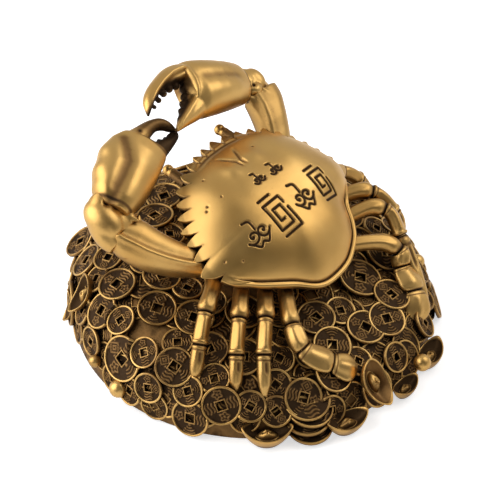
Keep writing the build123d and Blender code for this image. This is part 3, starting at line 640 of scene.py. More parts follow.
def blade(outer, inner, thickness, normal, power=1.0):
    """Closed form between two edges, given in space, with its half thickness along it."""
    outer, inner = catmull(outer, BLADE_ROWS), catmull(inner, BLADE_ROWS)
    depth = np.interp(np.linspace(0, 1, BLADE_ROWS), np.linspace(0, 1, len(thickness)), thickness)
    turn = turns(BLADE_COLUMNS)
    cos, sin = [np.sign(wave) * np.abs(wave) ** power for wave in (np.cos(turn), np.sin(turn))]
    middle, reach = (outer + inner) / 2, (outer - inner) / 2
    return lathe_caps(middle[:, None] + reach[:, None] * cos[:, None]
                      + np.asarray(normal) * (depth[:, None] * sin)[..., None])


def flat_blade(frame, table, power=1.0):
    base, along, across, normal = frame
    outer, inner, thickness = table
    edges = [np.array([base + along * p + across * q for p, q in edge]) for edge in (outer, inner)]
    return blade(*edges, thickness, normal, power)


def ball(centre, radius, stretch=(1, 1, 1), count=20):
    """Closed ball, stretched along its own axes."""
    turn = np.linspace(0, np.pi, count + 2)[1:-1, None]
    around = turns(2 * count)
    shape = space(np.sin(turn) * np.cos(around), np.sin(turn) * np.sin(around), np.cos(turn))
    return lathe_caps(shape * radius * np.array(stretch) + np.array(centre))


def cone(start, end, radius, tip=0.25):
    """Closed spike from a start to a sharp end."""
    start, end = np.array(start, float), np.array(end, float)
    direction = norm(end - start)
    side = norm(np.cross(direction, (0.3, 0.5, 0.8)))
    other = np.cross(direction, side)
    around = turns(20)[:, None]
    circle = side * np.cos(around) + other * np.sin(around)
    rings = [start + (end - start) * share + circle * (radius * (1 - share) ** 0.8 + tip * share)
             for share in np.linspace(0, 1, 12)]
    return lathe_caps(np.array(rings))


def teeth(frame, table):
    base, along, across, _ = frame
    return [ball(base + along * p + across * q, size) for (p, q), size in table]


def recess_age(vertices, normals, links, gain=RECESS_GAIN):
    return np.clip(gain * hollowness(vertices, normals, links, 3), 0, 0.8)


def claw_piece(side, word, skin, material, dark):
    """A cast piece of a claw, with patina in its hollows, and the patina and painted shade that `dark`
    gives.
    """
    vertices, faces, normals, links = skin
    form = (to_heap(vertices), faces, np.clip(recess_age(vertices, normals, links) + dark, 0, 1))
    piece(side + "_" + word, form, material, [side + "_claw_" + word])


def palm(side, material):
    """Palm with its fixed finger."""
    plan = CLAWS[side]
    frame = claw_frame(plan)
    parts = [flat_blade(frame, plan["palm"], 0.9), flat_blade(frame, plan["fixed"])]
    vertices, faces, normals, links = cast(parts + teeth(frame, plan["fixed_teeth"]), CLAW_VOXEL, 10)
    p, q, h = in_claw(vertices, frame)
    upper = ease(0, 5, h)
    dark = 0.7 * bump(p - 0.06 * q, plan["seam"], 0.8)
    if side == "left":
        valley = bump(line_distance(p, q, [LEFT_PALM_VALLEY]), 0, 3.6) * upper
        scallops = 0.3 * np.cos(p * 2 * np.pi / 12) * ease(10, 16, q) * ease(-2, 4, p)
        vertices = vertices + frame[2] * scallops[:, None]
        ridge = 0.7 * bump(q, -3.5, 5.5) * upper * ease(-4, 8, p) * (1 - ease(32, 41, p))
        push = ridge - 1.7 * valley
        finger = p - 0.16 * q
        # Painted shade: a painted dark reflection in the trough, and near black low on the inner edge, the
        # side that turns from the light
        dark += 0.42 * valley + 0.95 * ease(4.5, -0.5, h) * ease(-6, -12, q)
        dark += 0.85 * ease(40.5, 42.5, finger) + 0.5 * bump(finger, 40.6, 0.8)
    else:
        along_palm = upper * ease(2, 12, p) * (1 - ease(34, 41, p))
        rim = np.array(RIGHT_PALM_RIM)
        push = (bump(q, -8.5, 5.5) - 0.7 * bump(q, 0.5, 3.4)) * along_palm
        push += 1.1 * bump(line_distance(p, q, [rim]), 0, 1.5) * upper
        beyond = p - np.interp(q, rim[:, 1], rim[:, 0], right=99)
        # Painted shade: dark beyond the rim, inside the mouth's gap; a painted dark reflection along the
        # crease in the palm's middle; darker low on the lower edge
        dark += 0.95 * ease(1.0, 3.2, beyond) + 0.28 * bump(q, 0.5, 3.0) * along_palm
        dark += 0.6 * ease(2, -4, h) * ease(-10, -15, q)
    vertices = vertices + frame[3] * push[:, None]
    claw_piece(side, "palm", (vertices, faces, normals, links), material, dark)


def moving_finger(side, material):
    plan = CLAWS[side]
    frame = claw_frame(plan)
    parts = [flat_blade(frame, plan["moving"])] + teeth(frame, plan["moving_teeth"])
    vertices, faces, normals, links = cast(parts, CLAW_VOXEL, 4)
    p, q, h = in_claw(vertices, frame)
    mouth = ease(plan["mouth_reach"] + 0.5, 1.2, line_distance(p, q, [plan["mouth"]]))
    if side == "right":
        beside = np.array(RIGHT_FINGER_RIB) - (1.6, 2.2)
        push = bump(line_distance(p, q, [RIGHT_FINGER_RIB]), 0, 1.3)
        push -= 0.7 * bump(line_distance(p, q, [beside]), 0, 1.1)
        vertices = vertices + frame[3] * (push * ease(0, 3, h))[:, None]
        # Painted shade: dark along the mouth, in the gap between the fingers
        dark = 0.95 * mouth
    else:
        pivot = bump(np.hypot(p - 42.5, q - 4), 0, 1.2)
        # Darker all over and lighter near the palm, with painted shade along the mouth's gap and a dark spot
        # at the pivot
        dark = 0.55 + 0.35 * mouth - 0.35 * ease(48, 42, p) + 0.9 * pivot
    claw_piece(side, "finger", (vertices, faces, normals, links), material, dark)


# Arms and wrists: edges in the body's frame, half thickness, spikes, lobes, ribs and hollows
# An arm's ribs: share of the way across, height and width
ARMS = {
    "right": dict(
        outer=((-66, -56, -1), (-64, -49, -2), (-59, -40, -4), (-54, -31, -7), (-48, -22, -9)),
        inner=((-43, -57, -1), (-41, -49, -2), (-38.5, -41, -4), (-35, -33, -7), (-30, -25, -9)),
        thickness=(7.5, 8.8, 9, 8.6, 7),
        ribs=((0.75, 1.0, 2.2), (0.3, 0.5, 4.0)),
        spikes=(((-46, -54, 2), (-43.5, -59, 4.5), 3.4), ((-55, -50, 3), (-52.5, -57.5, 7), 3.4)),
    ),
    "left": dict(
        outer=((83, -39, -3), (82, -31, -4), (76, -20, -6), (66, -9, -8), (57, -2, -9), (47, 4, -11)),
        inner=((68, -41, -1), (61, -39, -2), (57, -30, -4), (51, -20, -7), (44, -12, -9), (35, -5, -11)),
        thickness=(7, 9, 9.4, 9, 7.6, 6.5),
        ribs=((0.22, 1.6, 1.6), (0.38, -0.5, 2.6)),
        spikes=(((67, -36, 0), (61.5, -41.2, 4), 3.6), ((75.5, -32, -1), (74, -40.5, 4.5), 3.8),
                ((79, -30, -4), (82.5, -39, 0.5), 3.0)),
    ),
}
WRISTS = {
    "right": dict(
        outer=((-64, -51, -4), (-64, -59, -4), (-60.5, -67.5, -2), (-54, -74.5, 0), (-47, -78, 1)),
        inner=((-44, -52, -3), (-44.5, -57, -1), (-44.5, -60, 1), (-43.5, -62.5, 2), (-42, -64.5, 3)),
        thickness=(6.5, 8.5, 8.5, 8, 6.5),
        lobes=(((-56, -64, 2.5), 5.5, (1, 1.4, 1)), ((-49.5, -59, 4.0), 5.0), ((-49.5, -70, 4.0), 4.6)),
        spikes=(((-54, -69, 4), (-45.5, -67.5, 8.5), 3.2), ((-52, -58, 4), (-44.5, -61, 8.5), 3.4)),
        hollows=(((-47.1, -63.2, 6), 2.2), ((-51.1, -61.3, 6), 1.3), ((-54, -52.4, 6), 2.0),
                 ((-45.2, -53.4, 6), 2.4), ((-51, -70.1, 6), 1.7)),
    ),
    "left": dict(
        outer=((85, -36, -4), (87, -43, -3), (86, -52, -1), (82, -60, 1), (76, -64, 3)),
        inner=((66, -36, -3), (60.5, -41, -2), (59.5, -48, 0), (60.5, -53, 2), (63, -57, 3)),
        thickness=(6.5, 9, 10, 9.5, 7.5),
        lobes=(((77.6, -50.5, 1.2), 8.8, (1, 1.45, 1)), ((67.5, -48.5, 3.2), 6.2, (0.85, 1.35, 1.05))),
        spikes=(((67, -48, 5), (65.5, -56, 9), 3.0), ((68, -44, 4), (67, -37, 8), 3.0)),
        hollows=(((71.4, -55.8, 6), 1.8), ((68.3, -51, 6), 1.7), ((67.2, -46.5, 6), 1.5),
                 ((77.9, -36.2, 6), 2.0)),
    ),
}
# Painted shade: the arms are darkened all over, the right one more, to dull the key lamp's reflection on
# their tops
ARM_PAINTED_SHADE = {"left": 0.1, "right": 0.2}
# The hollows of a wrist are sunk along this line, in the body's frame
HOLLOW_AXIS = norm((0.57, 0.136, 0.81))
HOLLOW_DEPTH = 2.4


def arm(side, material):
    plan = ARMS[side]
    parts = [blade(plan["outer"], plan["inner"], plan["thickness"], norm((0.0, 0.05, 1.0)), 0.8)]
    parts += [cone(*spike) for spike in plan["spikes"]]
    vertices, faces, normals, links = cast(parts, CLAW_VOXEL, 5)
    outer, inner = catmull(plan["outer"], BLADE_ROWS), catmull(plan["inner"], BLADE_ROWS)
    for share, height, width in plan["ribs"]:
        line = outer * (1 - share) + inner * share
        near = line_distance(vertices[:, 0], vertices[:, 1], [line[::6, :2]])
        vertices = vertices + normals * (height * bump(near, 0, width) * (normals[:, 2] > 0.2))[:, None]
    # Painted shade: darker all over by side, and darker on faces that turn downwards
    dark = ARM_PAINTED_SHADE[side] + 0.5 * ease(0.1, -0.7, normals[:, 2])
    claw_piece(side, "arm", (vertices, faces, normals, links), material, dark)


def wrist(side, material):
    plan = WRISTS[side]
    parts = [blade(plan["outer"], plan["inner"], plan["thickness"], (0, 0, 1), 0.9)]
    parts += [ball(*lobe) for lobe in plan["lobes"]] + [cone(*spike) for spike in plan["spikes"]]
    vertices, faces, normals, links = cast(parts, CLAW_VOXEL, 12)
    hollow = np.zeros(len(vertices))
    facing = ease(0.15, 0.4, normals @ HOLLOW_AXIS)
    for centre, radius in plan["hollows"]:
        offset = vertices - centre
        beside = offset - (offset @ HOLLOW_AXIS)[:, None] * HOLLOW_AXIS
        hollow = np.maximum(hollow, bump(length(beside), 0, radius) * facing)
    vertices = vertices - normals * (HOLLOW_DEPTH * hollow)[:, None]
    # Painted shade: nearly black in the sunk hollows, as deep holes in shade, and darker on faces that turn
    # downwards
    dark = 1.1 * ease(0.35, 0.9, hollow) + 0.5 * ease(0.0, -0.7, normals[:, 2])
    claw_piece(side, "wrist", (vertices, faces, normals, links), material, dark)


# Legs: joints in the body's frame over the shell's half width, as in the part
LEG_SHARES = {
    "left_leg_1": ((0.78, 0.11, -0.22), (1.16, 0.33, -0.27), (1.4, 0.52, -0.37), (1.6, 0.74, -0.58)),
    "left_leg_2": ((0.66, 0.34, -0.21), (0.99, 0.6, -0.18), (1.24, 0.84, -0.27), (1.42, 1.09, -0.46)),
    "left_leg_3": ((0.5, 0.52, -0.21), (0.8, 0.77, -0.13), (1.06, 1.02, -0.2), (1.26, 1.32, -0.39)),
    "left_leg_4": (
        (0.31, 0.62, -0.2), (0.64, 0.99, -0.11), (0.73, 1.23, -0.12), (0.58, 1.52, -0.15),
        (0.4, 1.74, -0.18),
    ),
    "right_leg_1": ((-0.84, -0.06, -0.22), (-1.17, 0.08, -0.16), (-1.37, 0.26, -0.27), (-1.43, 0.46, -0.44)),
    "right_leg_2": ((-0.76, 0.22, -0.2), (-1.195, 0.47, -0.05), (-1.31, 0.77, -0.16), (-1.33, 0.99, -0.36)),
    "right_leg_3": ((-0.62, 0.44, -0.2), (-1.14, 0.7, -0.03), (-1.1, 1.015, -0.1), (-0.86, 1.765, -0.34)),
    "right_leg_4": (
        (-0.41, 0.6, -0.2), (-0.94, 1.11, -0.09), (-0.88, 1.25, -0.17), (-0.8, 1.52, -0.19),
        (-0.63, 1.785, -0.315),
    ),
}
# Half width, half height, and the swell along each kind of segment
SEGMENTS = {
    "thigh": (4.5, 4.2, ((0, 0.8), (0.08, 0.9), (0.3, 0.98), (0.6, 1.0), (0.86, 1.12), (0.93, 1.04),
                         (1, 0.8))),
    "knee": (4.9, 4.3, ((0, 0.74), (0.06, 0.98), (0.2, 1.08), (0.5, 1.14), (0.8, 1.08), (0.93, 0.98),
                        (1, 0.76))),
    "shin": (4.3, 4.0, ((0, 0.76), (0.035, 0.96), (0.08, 1.0), (0.12, 0.91), (0.5, 0.94), (0.84, 0.95),
                        (0.88, 1.05), (0.95, 1.04), (1, 0.8))),
    "tip": (3.9, 3.6, ((0, 0.82), (0.03, 1.0), (0.08, 1.04), (0.13, 0.96), (0.5, 0.97), (0.72, 0.86),
                       (0.86, 0.62), (0.95, 0.4), (1, 0.16))),
    "blade": (6.6, 3.4, ((0, 0.7), (0.06, 0.86), (0.25, 1.0), (0.6, 1.12), (0.85, 1.04), (0.95, 0.9),
                         (1, 0.72))),
    "paddle": (7.2, 2.9, ((0, 0.6), (0.08, 0.82), (0.3, 1.04), (0.55, 1.12), (0.75, 0.94), (0.9, 0.58),
                          (1, 0.14))),
}
# Ridges and troughs along each kind of segment: height, angle from its top, width
THIGH_CRESTS = ((0.1, 0.5, 0.3), (-0.03, 0.0, 0.25))
SHIN_CRESTS = ((0.13, 0.0, 0.3), (-0.07, 0.75, 0.3))
CRESTS = {
    "thigh": THIGH_CRESTS, "knee": THIGH_CRESTS, "shin": SHIN_CRESTS, "blade": SHIN_CRESTS,
    "tip": ((-0.2, 0.0, 0.28), (0.06, 0.6, 0.25)), "paddle": ((0.25, 0.0, 0.22), (-0.05, 0.6, 0.3)),
}
# Node and kind of each segment, by how many the leg has
LEG_PARTS = {
    3: (("thigh", "thigh"), ("shin", "shin"), ("tip", "tip")),
    4: (("thigh", "thigh"), ("knee", "knee"), ("shin", "blade"), ("paddle", "paddle")),
}
# The legs are duller than the shell
LEG_DARKENING = 0.12
LEG_ROWS = 90
LEG_COLUMNS = 48
SEAM = 0.3


def leg_segment(kind, start, leave, end, arrive):
    """One leg segment along the smooth curve between two joints, with its patina."""
    half_width, half_height, swell = SEGMENTS[kind]
    pointed = kind == "tip"
    reach = np.linalg.norm(end - start)
    start = start + leave * SEAM / 2
    end = end - arrive * SEAM / 2
    t = np.linspace(0, 1, LEG_ROWS)[:, None]
    line = (start * (2 * t**3 - 3 * t**2 + 1) + leave * reach * (t**3 - 2 * t**2 + t)
            + end * (3 * t**2 - 2 * t**3) + arrive * reach * (t**3 - t**2))
    tangent = norm(np.gradient(line, axis=0))
    side = norm(np.cross((0, 0, 1), tangent))
    top = np.cross(tangent, side)
    share = catmull(swell, 400)
    size = np.interp(t[:, 0], share[:, 0], share[:, 1])[:, None]
    around = turns(LEG_COLUMNS)[None]
    from_top = np.abs((around + np.pi / 2) % (2 * np.pi) - np.pi)
    rise, fall = ((0.12, 0.2), (0.35, 0.5)) if pointed else ((0.1, 0.25), (0.75, 0.92))
    body = ease(*rise, t) * (1 - ease(*fall, t))
    crest = sum(height * bump(from_top, place, width) for height, place, width in CRESTS[kind])
    scale = size * (1 + crest * body)
    across = np.cos(around) * scale * half_width
    upward = np.sin(around) * scale * half_height
    seams = bump(t, 0, 0.03) + 0.6 * bump(t, 0.12, 0.02)
    if kind not in ("tip", "paddle"):
        seams = seams + bump(t, 1, 0.03)
    # Dark seams at the joints, the whole leg a little darker, and painted shade on the underside of each
    # segment
    patina_and_shade = 0.9 * (LEG_DARKENING + seams) + 0.45 * ease(1.9, 2.9, from_top)
    if pointed:
        upward = upward * (1 - 0.25 * ease(0.7, 1.0, t))
        patina_and_shade = patina_and_shade + 0.7 * bump(from_top, 0.0, 0.22) * body
    rings = line[:, None] + side[:, None] * across[..., None] + top[:, None] * upward[..., None]
    vertices, faces = lathe_caps(rings)
    return to_heap(vertices), faces, np.concatenate([np.clip(patina_and_shade, 0, 1).ravel(), (0.5, 0.2)])


def leg(name, shares, material):
    joints = np.array(shares) * HALF_WIDTH
    runs = norm(np.diff(joints, axis=0))
    directions = np.concatenate([runs[:1], norm(runs[:-1] + runs[1:]), runs[-1:]])
    ends = list(zip(joints, directions))
    for (word, kind), start, end in zip(LEG_PARTS[len(runs)], ends, ends[1:]):
        node_name = name + "_" + word
        piece(node_name + "_skin", leg_segment(kind, *start, *end), material, [node_name])


# Eyes: root and tip of a stalk over the shell's half width, and each side's shift
EYE_SHARES = ((0.41, -0.76, -0.06), (0.4, -1.02, -0.15))
EYE_SHIFTS = {"left": (-2.0, 0.0, -2.0), "right": (1.0, 0.0, 3.0)}
EYE_RADIUS = 3.1
EYE_STALK_RADIUS = 2.6
EYE_VOXEL = 0.35


def eye(side, material):
    sign = 1 if side == "left" else -1
    root, tip = [np.array((sign * x, y, z)) * HALF_WIDTH + EYE_SHIFTS[side] for x, y, z in EYE_SHARES]
    direction = norm(tip - root)
    parts = [ball(tip, EYE_RADIUS), cone(root - direction * 2, tip, EYE_STALK_RADIUS, EYE_STALK_RADIUS),
             ball(tip - direction * 3.4, EYE_STALK_RADIUS * 1.12)]
    vertices, faces, normals, links = cast(parts, EYE_VOXEL, 2)
    patina_and_shade = recess_age(vertices, normals, links, 12.0)
    dent = bump(length(vertices - (tip + direction * EYE_RADIUS)), 0, 1.2)
    vertices = vertices - normals * (0.5 * dent)[:, None]
    stalk = ease(EYE_RADIUS + 0.2, EYE_RADIUS + 2.5, length(vertices - tip))
    patina_and_shade = np.clip(patina_and_shade + 0.7 * dent + 0.55 * stalk, 0, 1)
    piece(side + "_eye_ball", (to_heap(vertices), faces, patina_and_shade), material, [side + "_eye"])


# Coins: their tables as in the part
COIN_DIAMETERS = {"large": 25.0, "medium": 21.0, "small": 17.0}
COIN_THICKNESS = 2.0
COIN_TILT = math.radians(7)
COIN_TURN = 67.0
COIN_SEAT = 0.4
COIN_HOLE_SHARE = 0.24
CAP_COINS = (
    (114, 0.77, "medium"), (102, 0.8, "medium"), (74, 0.73, "medium"), (352, 0.68, "medium"),
    (331, 0.77, "medium"), (345, 0.84, "small"), (0, 0.87, "small"), (9, 0.6, "medium"),
    (12, 0.86, "medium"), (337, 0.55, "medium"), (9, 0.76, "small"), (92, 0.75, "medium"),
    (76, 0.56, "medium"), (90, 0.6, "small"), (116, 0.59, "large"), (353, 0.48, "small"),
    (291, 0.57, "medium"), (275, 0.6, "medium"), (264, 0.74, "small"), (316, 0.78, "small"),
)
WALL_COINS = (
    (336, 0.69, "medium"), (354, 0.55, "large"), (30, 0.52, "medium"), (56, 0.6, "medium"),
    (39, 0.54, "small"), (47, 0.48, "small"), (19, 0.58, "small"), (6, 0.44, "small"),
    (93, 0.55, "small"), (81, 0.38, "medium"), (113, 0.45, "small"), (122, 0.58, "small"),
    (339, 0.4, "small"), (297, 0.55, "medium"), (64, 0.36, "small"), (311, 0.66, "medium"),
)
CAP_RING_SHARES = (0.32, 0.46, 0.6, 0.73, 0.85)
WALL_RING_SHARES = (0.5, 0.74, 0.28)
FILL_SIZES = ("medium", "small", "large", "small", "medium")
FILL_PITCH_SHARE = 0.86
CLOSEST_SHARE = 0.7
UNDER_BELLY_SHARES = (0.74, 0.62)
FLOOR_ROOM_SHARE = 0.42
COIN_COLUMNS = 84
COIN_RELIEF = 0.9
COIN_RIM = 1.15
COIN_BORDER = 0.75
COINS_PER_PIECE = 28
# Coins half sunk in the heap between the others
SUNK_SHARES = (0.3, 0.42, 0.53, 0.63, 0.73, 0.83, 0.92)
SUNK_HEIGHT_SHARES = (0.22, 0.38, 0.52, 0.66)
SUNK_TILT = math.radians(3)
SUNK_SEAT = -1.5
SUNK_CLOSEST_SHARE = 0.34
SUNK_ROOM_SHARE = 0.5
# Loose coins, one on the wall and a stack at the foot: place, facing, size and turn
LOOSE_COINS = (
    ((45, -87, 29), (0.365, -0.5, 0.79), "medium", 40), ((53.5, 83, 5), (0.12, 0.2, 1), "large", 10),
    ((53, 81, 9), (0.1, 0.1, 1), "large", 50), ((50.5, 80.5, 13), (0.05, 0.2, 1), "large", 95),
    ((50, 78, 17.5), (0.2, 0.3, 1), "large", 150),
)
# Where coins lie flush: from one bearing to another, outside a share of the heap's radius
FLUSH_SECTORS = ((205, 268, 0.62), (136, 176, 0.88))


def on_heap(bearing, radius_share):
    """Point and outward normal of the heap at a bearing and a share of its radius."""
    angle = math.radians(bearing)
    reach = HEAP_RADIUS * radius_share
    x, y = reach * math.cos(angle), reach * math.sin(angle)
    top = HEAP_HEIGHT - HEAP_FALL * y
    lift = math.sqrt(1 - radius_share**HEAP_SQUARENESS)
    push = HEAP_SQUARENESS * radius_share ** (HEAP_SQUARENESS - 1) / HEAP_RADIUS
    tip = 2 * lift * lift * HEAP_FALL / top
    normal = norm((push * math.cos(angle), push * math.sin(angle) + tip, 2 * lift / top))
    return np.array((x, y, lift * top + HEAP_FOOT)), normal


def on_wall(bearing, height_share):
    return on_heap(bearing, (1 - height_share**2) ** (1 / HEAP_SQUARENESS))


def under_belly(point):
    offset = point - np.array(BODY_PLACE)
    along = offset[1] * math.cos(BODY_PITCH) - offset[2] * math.sin(BODY_PITCH)
    return math.hypot(offset[0] / UNDER_BELLY_SHARES[0], along / UNDER_BELLY_SHARES[1]) < HALF_WIDTH


def fill_rings(places, rings, pitch_size, size_step, phase, closest_share, room_share):
    """More coins in rings, where none is too near, the belly isn't over them, and the floor leaves room."""
    added = []
    count = 0
    for finder, shares in rings:
        for ring, share in enumerate(shares):
            radius = HEAP_RADIUS if finder is on_wall else HEAP_RADIUS * share
            number = int(2 * math.pi * radius / (COIN_DIAMETERS[pitch_size] * FILL_PITCH_SHARE))
            for step in range(number):
                size = FILL_SIZES[count * size_step % len(FILL_SIZES)]
                diameter = COIN_DIAMETERS[size]
                point, normal = finder(360 * (step + ring * phase) / number, share)
                count += 1
                near = any(np.linalg.norm(other - point)
                           < closest_share * (COIN_DIAMETERS[kind] + diameter) / 2
                           for other, _, kind, _ in places + added)
                floor = HEAP_FOOT + room_share * diameter * math.hypot(normal[0], normal[1])
                if not near and not under_belly(point) and point[2] >= floor:
                    added.append((point, normal, size, count * COIN_TURN))
    return added


def coin_places():
    """Places of the part's coins, and of those that lie half sunk in the gaps between them."""
    places = []
    for finder, table in ((on_heap, CAP_COINS), (on_wall, WALL_COINS)):
        for index, (bearing, share, size) in enumerate(table):
            places.append((*finder(bearing, share), size, index * COIN_TURN))
    places += fill_rings(places, ((on_wall, WALL_RING_SHARES), (on_heap, CAP_RING_SHARES)), "medium", 1, 0.5,
                         CLOSEST_SHARE, FLOOR_ROOM_SHARE)
    sunk = fill_rings(places, ((on_wall, SUNK_HEIGHT_SHARES), (on_heap, SUNK_SHARES)), "small", 3, 0.37,
                      SUNK_CLOSEST_SHARE, SUNK_ROOM_SHARE)
    return places, sunk


def coin_axes(normal, turn, tilt=COIN_TILT):
    """Axes of a coin that rests on one edge: the part turns it about the heap's normal, then tilts it."""
    first = np.cross((0, 1, 0), normal) if abs(normal[1]) < 0.999999 else np.array((1.0, 0, 0))
    first = norm(first)
    second = np.cross(normal, first)
    angle = math.radians(turn)
    x_axis = first * math.cos(angle) + second * math.sin(angle)
    y_axis = np.cross(normal, x_axis)
    y_tilted = y_axis * math.cos(tilt) + normal * math.sin(tilt)
    return x_axis, y_tilted, np.cross(x_axis, y_tilted)


def blossom(u, v, size):
    """Petals round a dot."""
    radius = np.hypot(u, v)
    petals = 0.66 * size * (1 + 0.22 * np.cos(5 * np.arctan2(v, u)))
    return np.maximum(bump(radius, 0, 0.3 * size), bump(radius, petals, 0.2 * size))


def fan(u, v, size):
    """Nested arcs spreading from a dot."""
    radius = np.hypot(u, v + 0.8 * size)
    arcs = bump((radius / size + 0.05) % 0.5, 0.25, 0.15) * (np.abs(u) < 0.85 * (v + 0.9 * size))
    return np.maximum(arcs * (radius < 1.75 * size), bump(radius, 0, 0.3 * size))


def waves(u, v, size):
    wave = v + 0.16 * size * np.sin(3.6 * u / size)
    lines = bump((wave / size + 0.9) % 0.6, 0.3, 0.2)
    return lines * (np.hypot(u, v) < 1.05 * size)


def lozenge(u, v, size):
    """Nested diamonds with dots at their sides."""
    diamond = np.abs(u) + np.abs(v)
    lines = np.maximum(bump(diamond, 0.95 * size, 0.2 * size), bump(diamond, 0.35 * size, 0.2 * size))
    return np.maximum(lines, bump(np.hypot(np.abs(u) - 0.8 * size, np.abs(v) - 0.8 * size), 0, 0.25 * size))


MOTIFS = (blossom, fan, waves, lozenge)


def coin_form(size, motifs):
    """Pierced coin: raised rim, bordered square hole, four motifs, and patina that follows the relief."""
    radius = COIN_DIAMETERS[size] / 2
    hole = radius * COIN_HOLE_SHARE
    around = turns(COIN_COLUMNS)[None]
    cos, sin = np.cos(around), np.sin(around)
    square = hole / np.maximum(np.abs(cos), np.abs(sin))
    border = square + COIN_BORDER
    rim_start = radius - COIN_RIM
    inner = square + np.array([0, 0.3, 0.7, 1.0, 1.25])[:, None] * COIN_BORDER / 1.25
    field = border + (rim_start - 0.2 - border) * np.linspace(0, 1, 24)[:, None]
    outer = rim_start + np.array([0, 0.25, 0.6, 1.0, 1.25])[:, None] / 1.25 * (COIN_RIM - 0.25)
    reach = np.concatenate([inner, field, outer + 0 * around])
    x, y = reach * cos, reach * sin
    inside = np.maximum(np.abs(x), np.abs(y)) - hole
    raised = 1 - ease(0.55 * COIN_BORDER, COIN_BORDER, inside)
    height = np.maximum(0.8 * raised, ease(rim_start - 0.25, rim_start + 0.2, reach))
    middle = (hole + rim_start) / 2 + 0.25
    motif_size = (rim_start - hole) * 0.46
    for k, motif in enumerate(motifs):
        turn = k * np.pi / 2
        u = x * math.cos(turn) + y * math.sin(turn) - middle
        v = -x * math.sin(turn) + y * math.cos(turn)
        near = np.maximum(np.abs(u), np.abs(v)) < motif_size * 1.15
        height = np.maximum(height, 0.8 * MOTIFS[motif](v, u, motif_size) * near)
    rings = [space(square * cos, square * sin, 0), space(x, y, COIN_THICKNESS - COIN_RELIEF * (1 - height))]
    for share, z in ((1, COIN_THICKNESS - 0.35), (1, 0.3), (0.97, 0)):
        rings.append(space(radius * cos * share, radius * sin * share, z))
    worn = np.maximum(ease(rim_start - 0.1, rim_start + 0.25, reach), 0.45 * raised)
    relief_age = (0.92 - 0.4 * ease(0.15, 0.75, height)) * (1 - 0.92 * worn)
    patina_and_shade = np.concatenate([0 * around + 1, relief_age, *(0 * around + share for share in (0.25, 0.6, 0.95))])
    faces = ring_faces(len(patina_and_shade) + 1, COIN_COLUMNS, patina_and_shade.size)
    return np.concatenate(rings).reshape(-1, 3), faces, patina_and_shade.ravel()


def lies_flush(point):
    bearing = math.degrees(math.atan2(point[1], point[0])) % 360
    radius = math.hypot(point[0], point[1])
    return any(low < bearing < high and radius > share * HEAP_RADIUS for low, high, share in FLUSH_SECTORS)


def coins(material):
    standing, sunk = coin_places()
    places = [(*place, COIN_TILT, COIN_SEAT, place[2]) for place in standing]
    places += [(*place, SUNK_TILT, SUNK_SEAT, "sunk") for place in sunk]
    places += [(np.array(place), norm(facing), *rest, 0, 0, "loose") for place, facing, *rest in LOOSE_COINS]
    placed = []
    groups = {}
    for index, (point, normal, size, turn, tilt, seat, group) in enumerate(places):
        loose = group == "loose"
        if lies_flush(point) and not loose:
            tilt, seat = 0, SUNK_SEAT
        axes = np.stack(coin_axes(normal, turn, tilt))
        radius = COIN_DIAMETERS[size] / 2
        centre = point + normal * (seat + radius * math.sin(tilt))
        vertices, faces, patina_and_shade = coin_form(size, [(index + k * (1 + index % 3)) % 4 for k in range(4)])
        vertices = vertices @ axes + centre
        # what would stand under a coin placed before is pushed below it
        for other_centre, other_axes, other_radius in [] if loose else placed:
            if np.linalg.norm(other_centre - centre) > radius + other_radius + COIN_THICKNESS:
                continue
            local = (vertices - other_centre) @ other_axes.T
            under = (np.hypot(local[:, 0], local[:, 1]) < other_radius + 0.1) & (local[:, 2] > -0.15)
            drop = np.where(under, local[:, 2] + 0.15, 0)
            vertices = vertices - drop[:, None] * other_axes[2]
        placed.append((centre, axes, radius))
        groups.setdefault(group, []).append((vertices, faces, patina_and_shade))
    for group, parts in groups.items():
        nodes = [] if group in ("sunk", "loose") else [group + "_coins"]
        for start in range(0, len(parts), COINS_PER_PIECE):
            name = "%s_coin_faces_%d" % (group, start // COINS_PER_PIECE)
            piece(name, join(parts[start:start + COINS_PER_PIECE]), material, nodes)


# Ingots and beads, as in the part
INGOT_LENGTH = 27.0
INGOT_WIDTH = 15.0
INGOT_HEIGHT = 12.0
INGOT_BACK = 1.8
INGOT_COLUMNS = 80
BEAD = 9.0
# Bearing, share of the height, size, and how far it stands out of its place in the part
INGOTS = (
    (44, 0.0, 1.0, 5.0), (67.5, 0.0, 0.9, 8.0), (105, 0.0, 0.85, 7.5), (325, 0.6, 0.85, -1.5),
    (318, 0.26, 0.75, -3.0), (24, 0.0, 0.8, -3.5), (5, 0.0, 0.75, -3.5), (90, 0.0, 0.7, 7.5),
    (132, 0.0, 0.85, -2.5), (158, 0.0, 0.95, -2.5), (183, 0.0, 0.85, 0), (207, 0.0, 1.0, 0),
    (232, 0.0, 0.85, 0), (256, 0.0, 0.95, 0), (280, 0.0, 0.85, 0), (301, 0.0, 0.8, 0),
)
# An ingot that stands on end against the wall
STANDING_INGOT = (79.5, 0.5, 1.0, 0.5)
BEADS = (
    (344, 0.28, 0.78, 0), (356, 0.22, 1.1, -1.5), (98, 0.3, 1.05, 4.5), (145, 0.34, 1.0, -6.0),
    (195, 0.32, 0.9, 0), (244, 0.34, 1.0, -2.5), (290, 0.34, 1.0, -6.0),
)


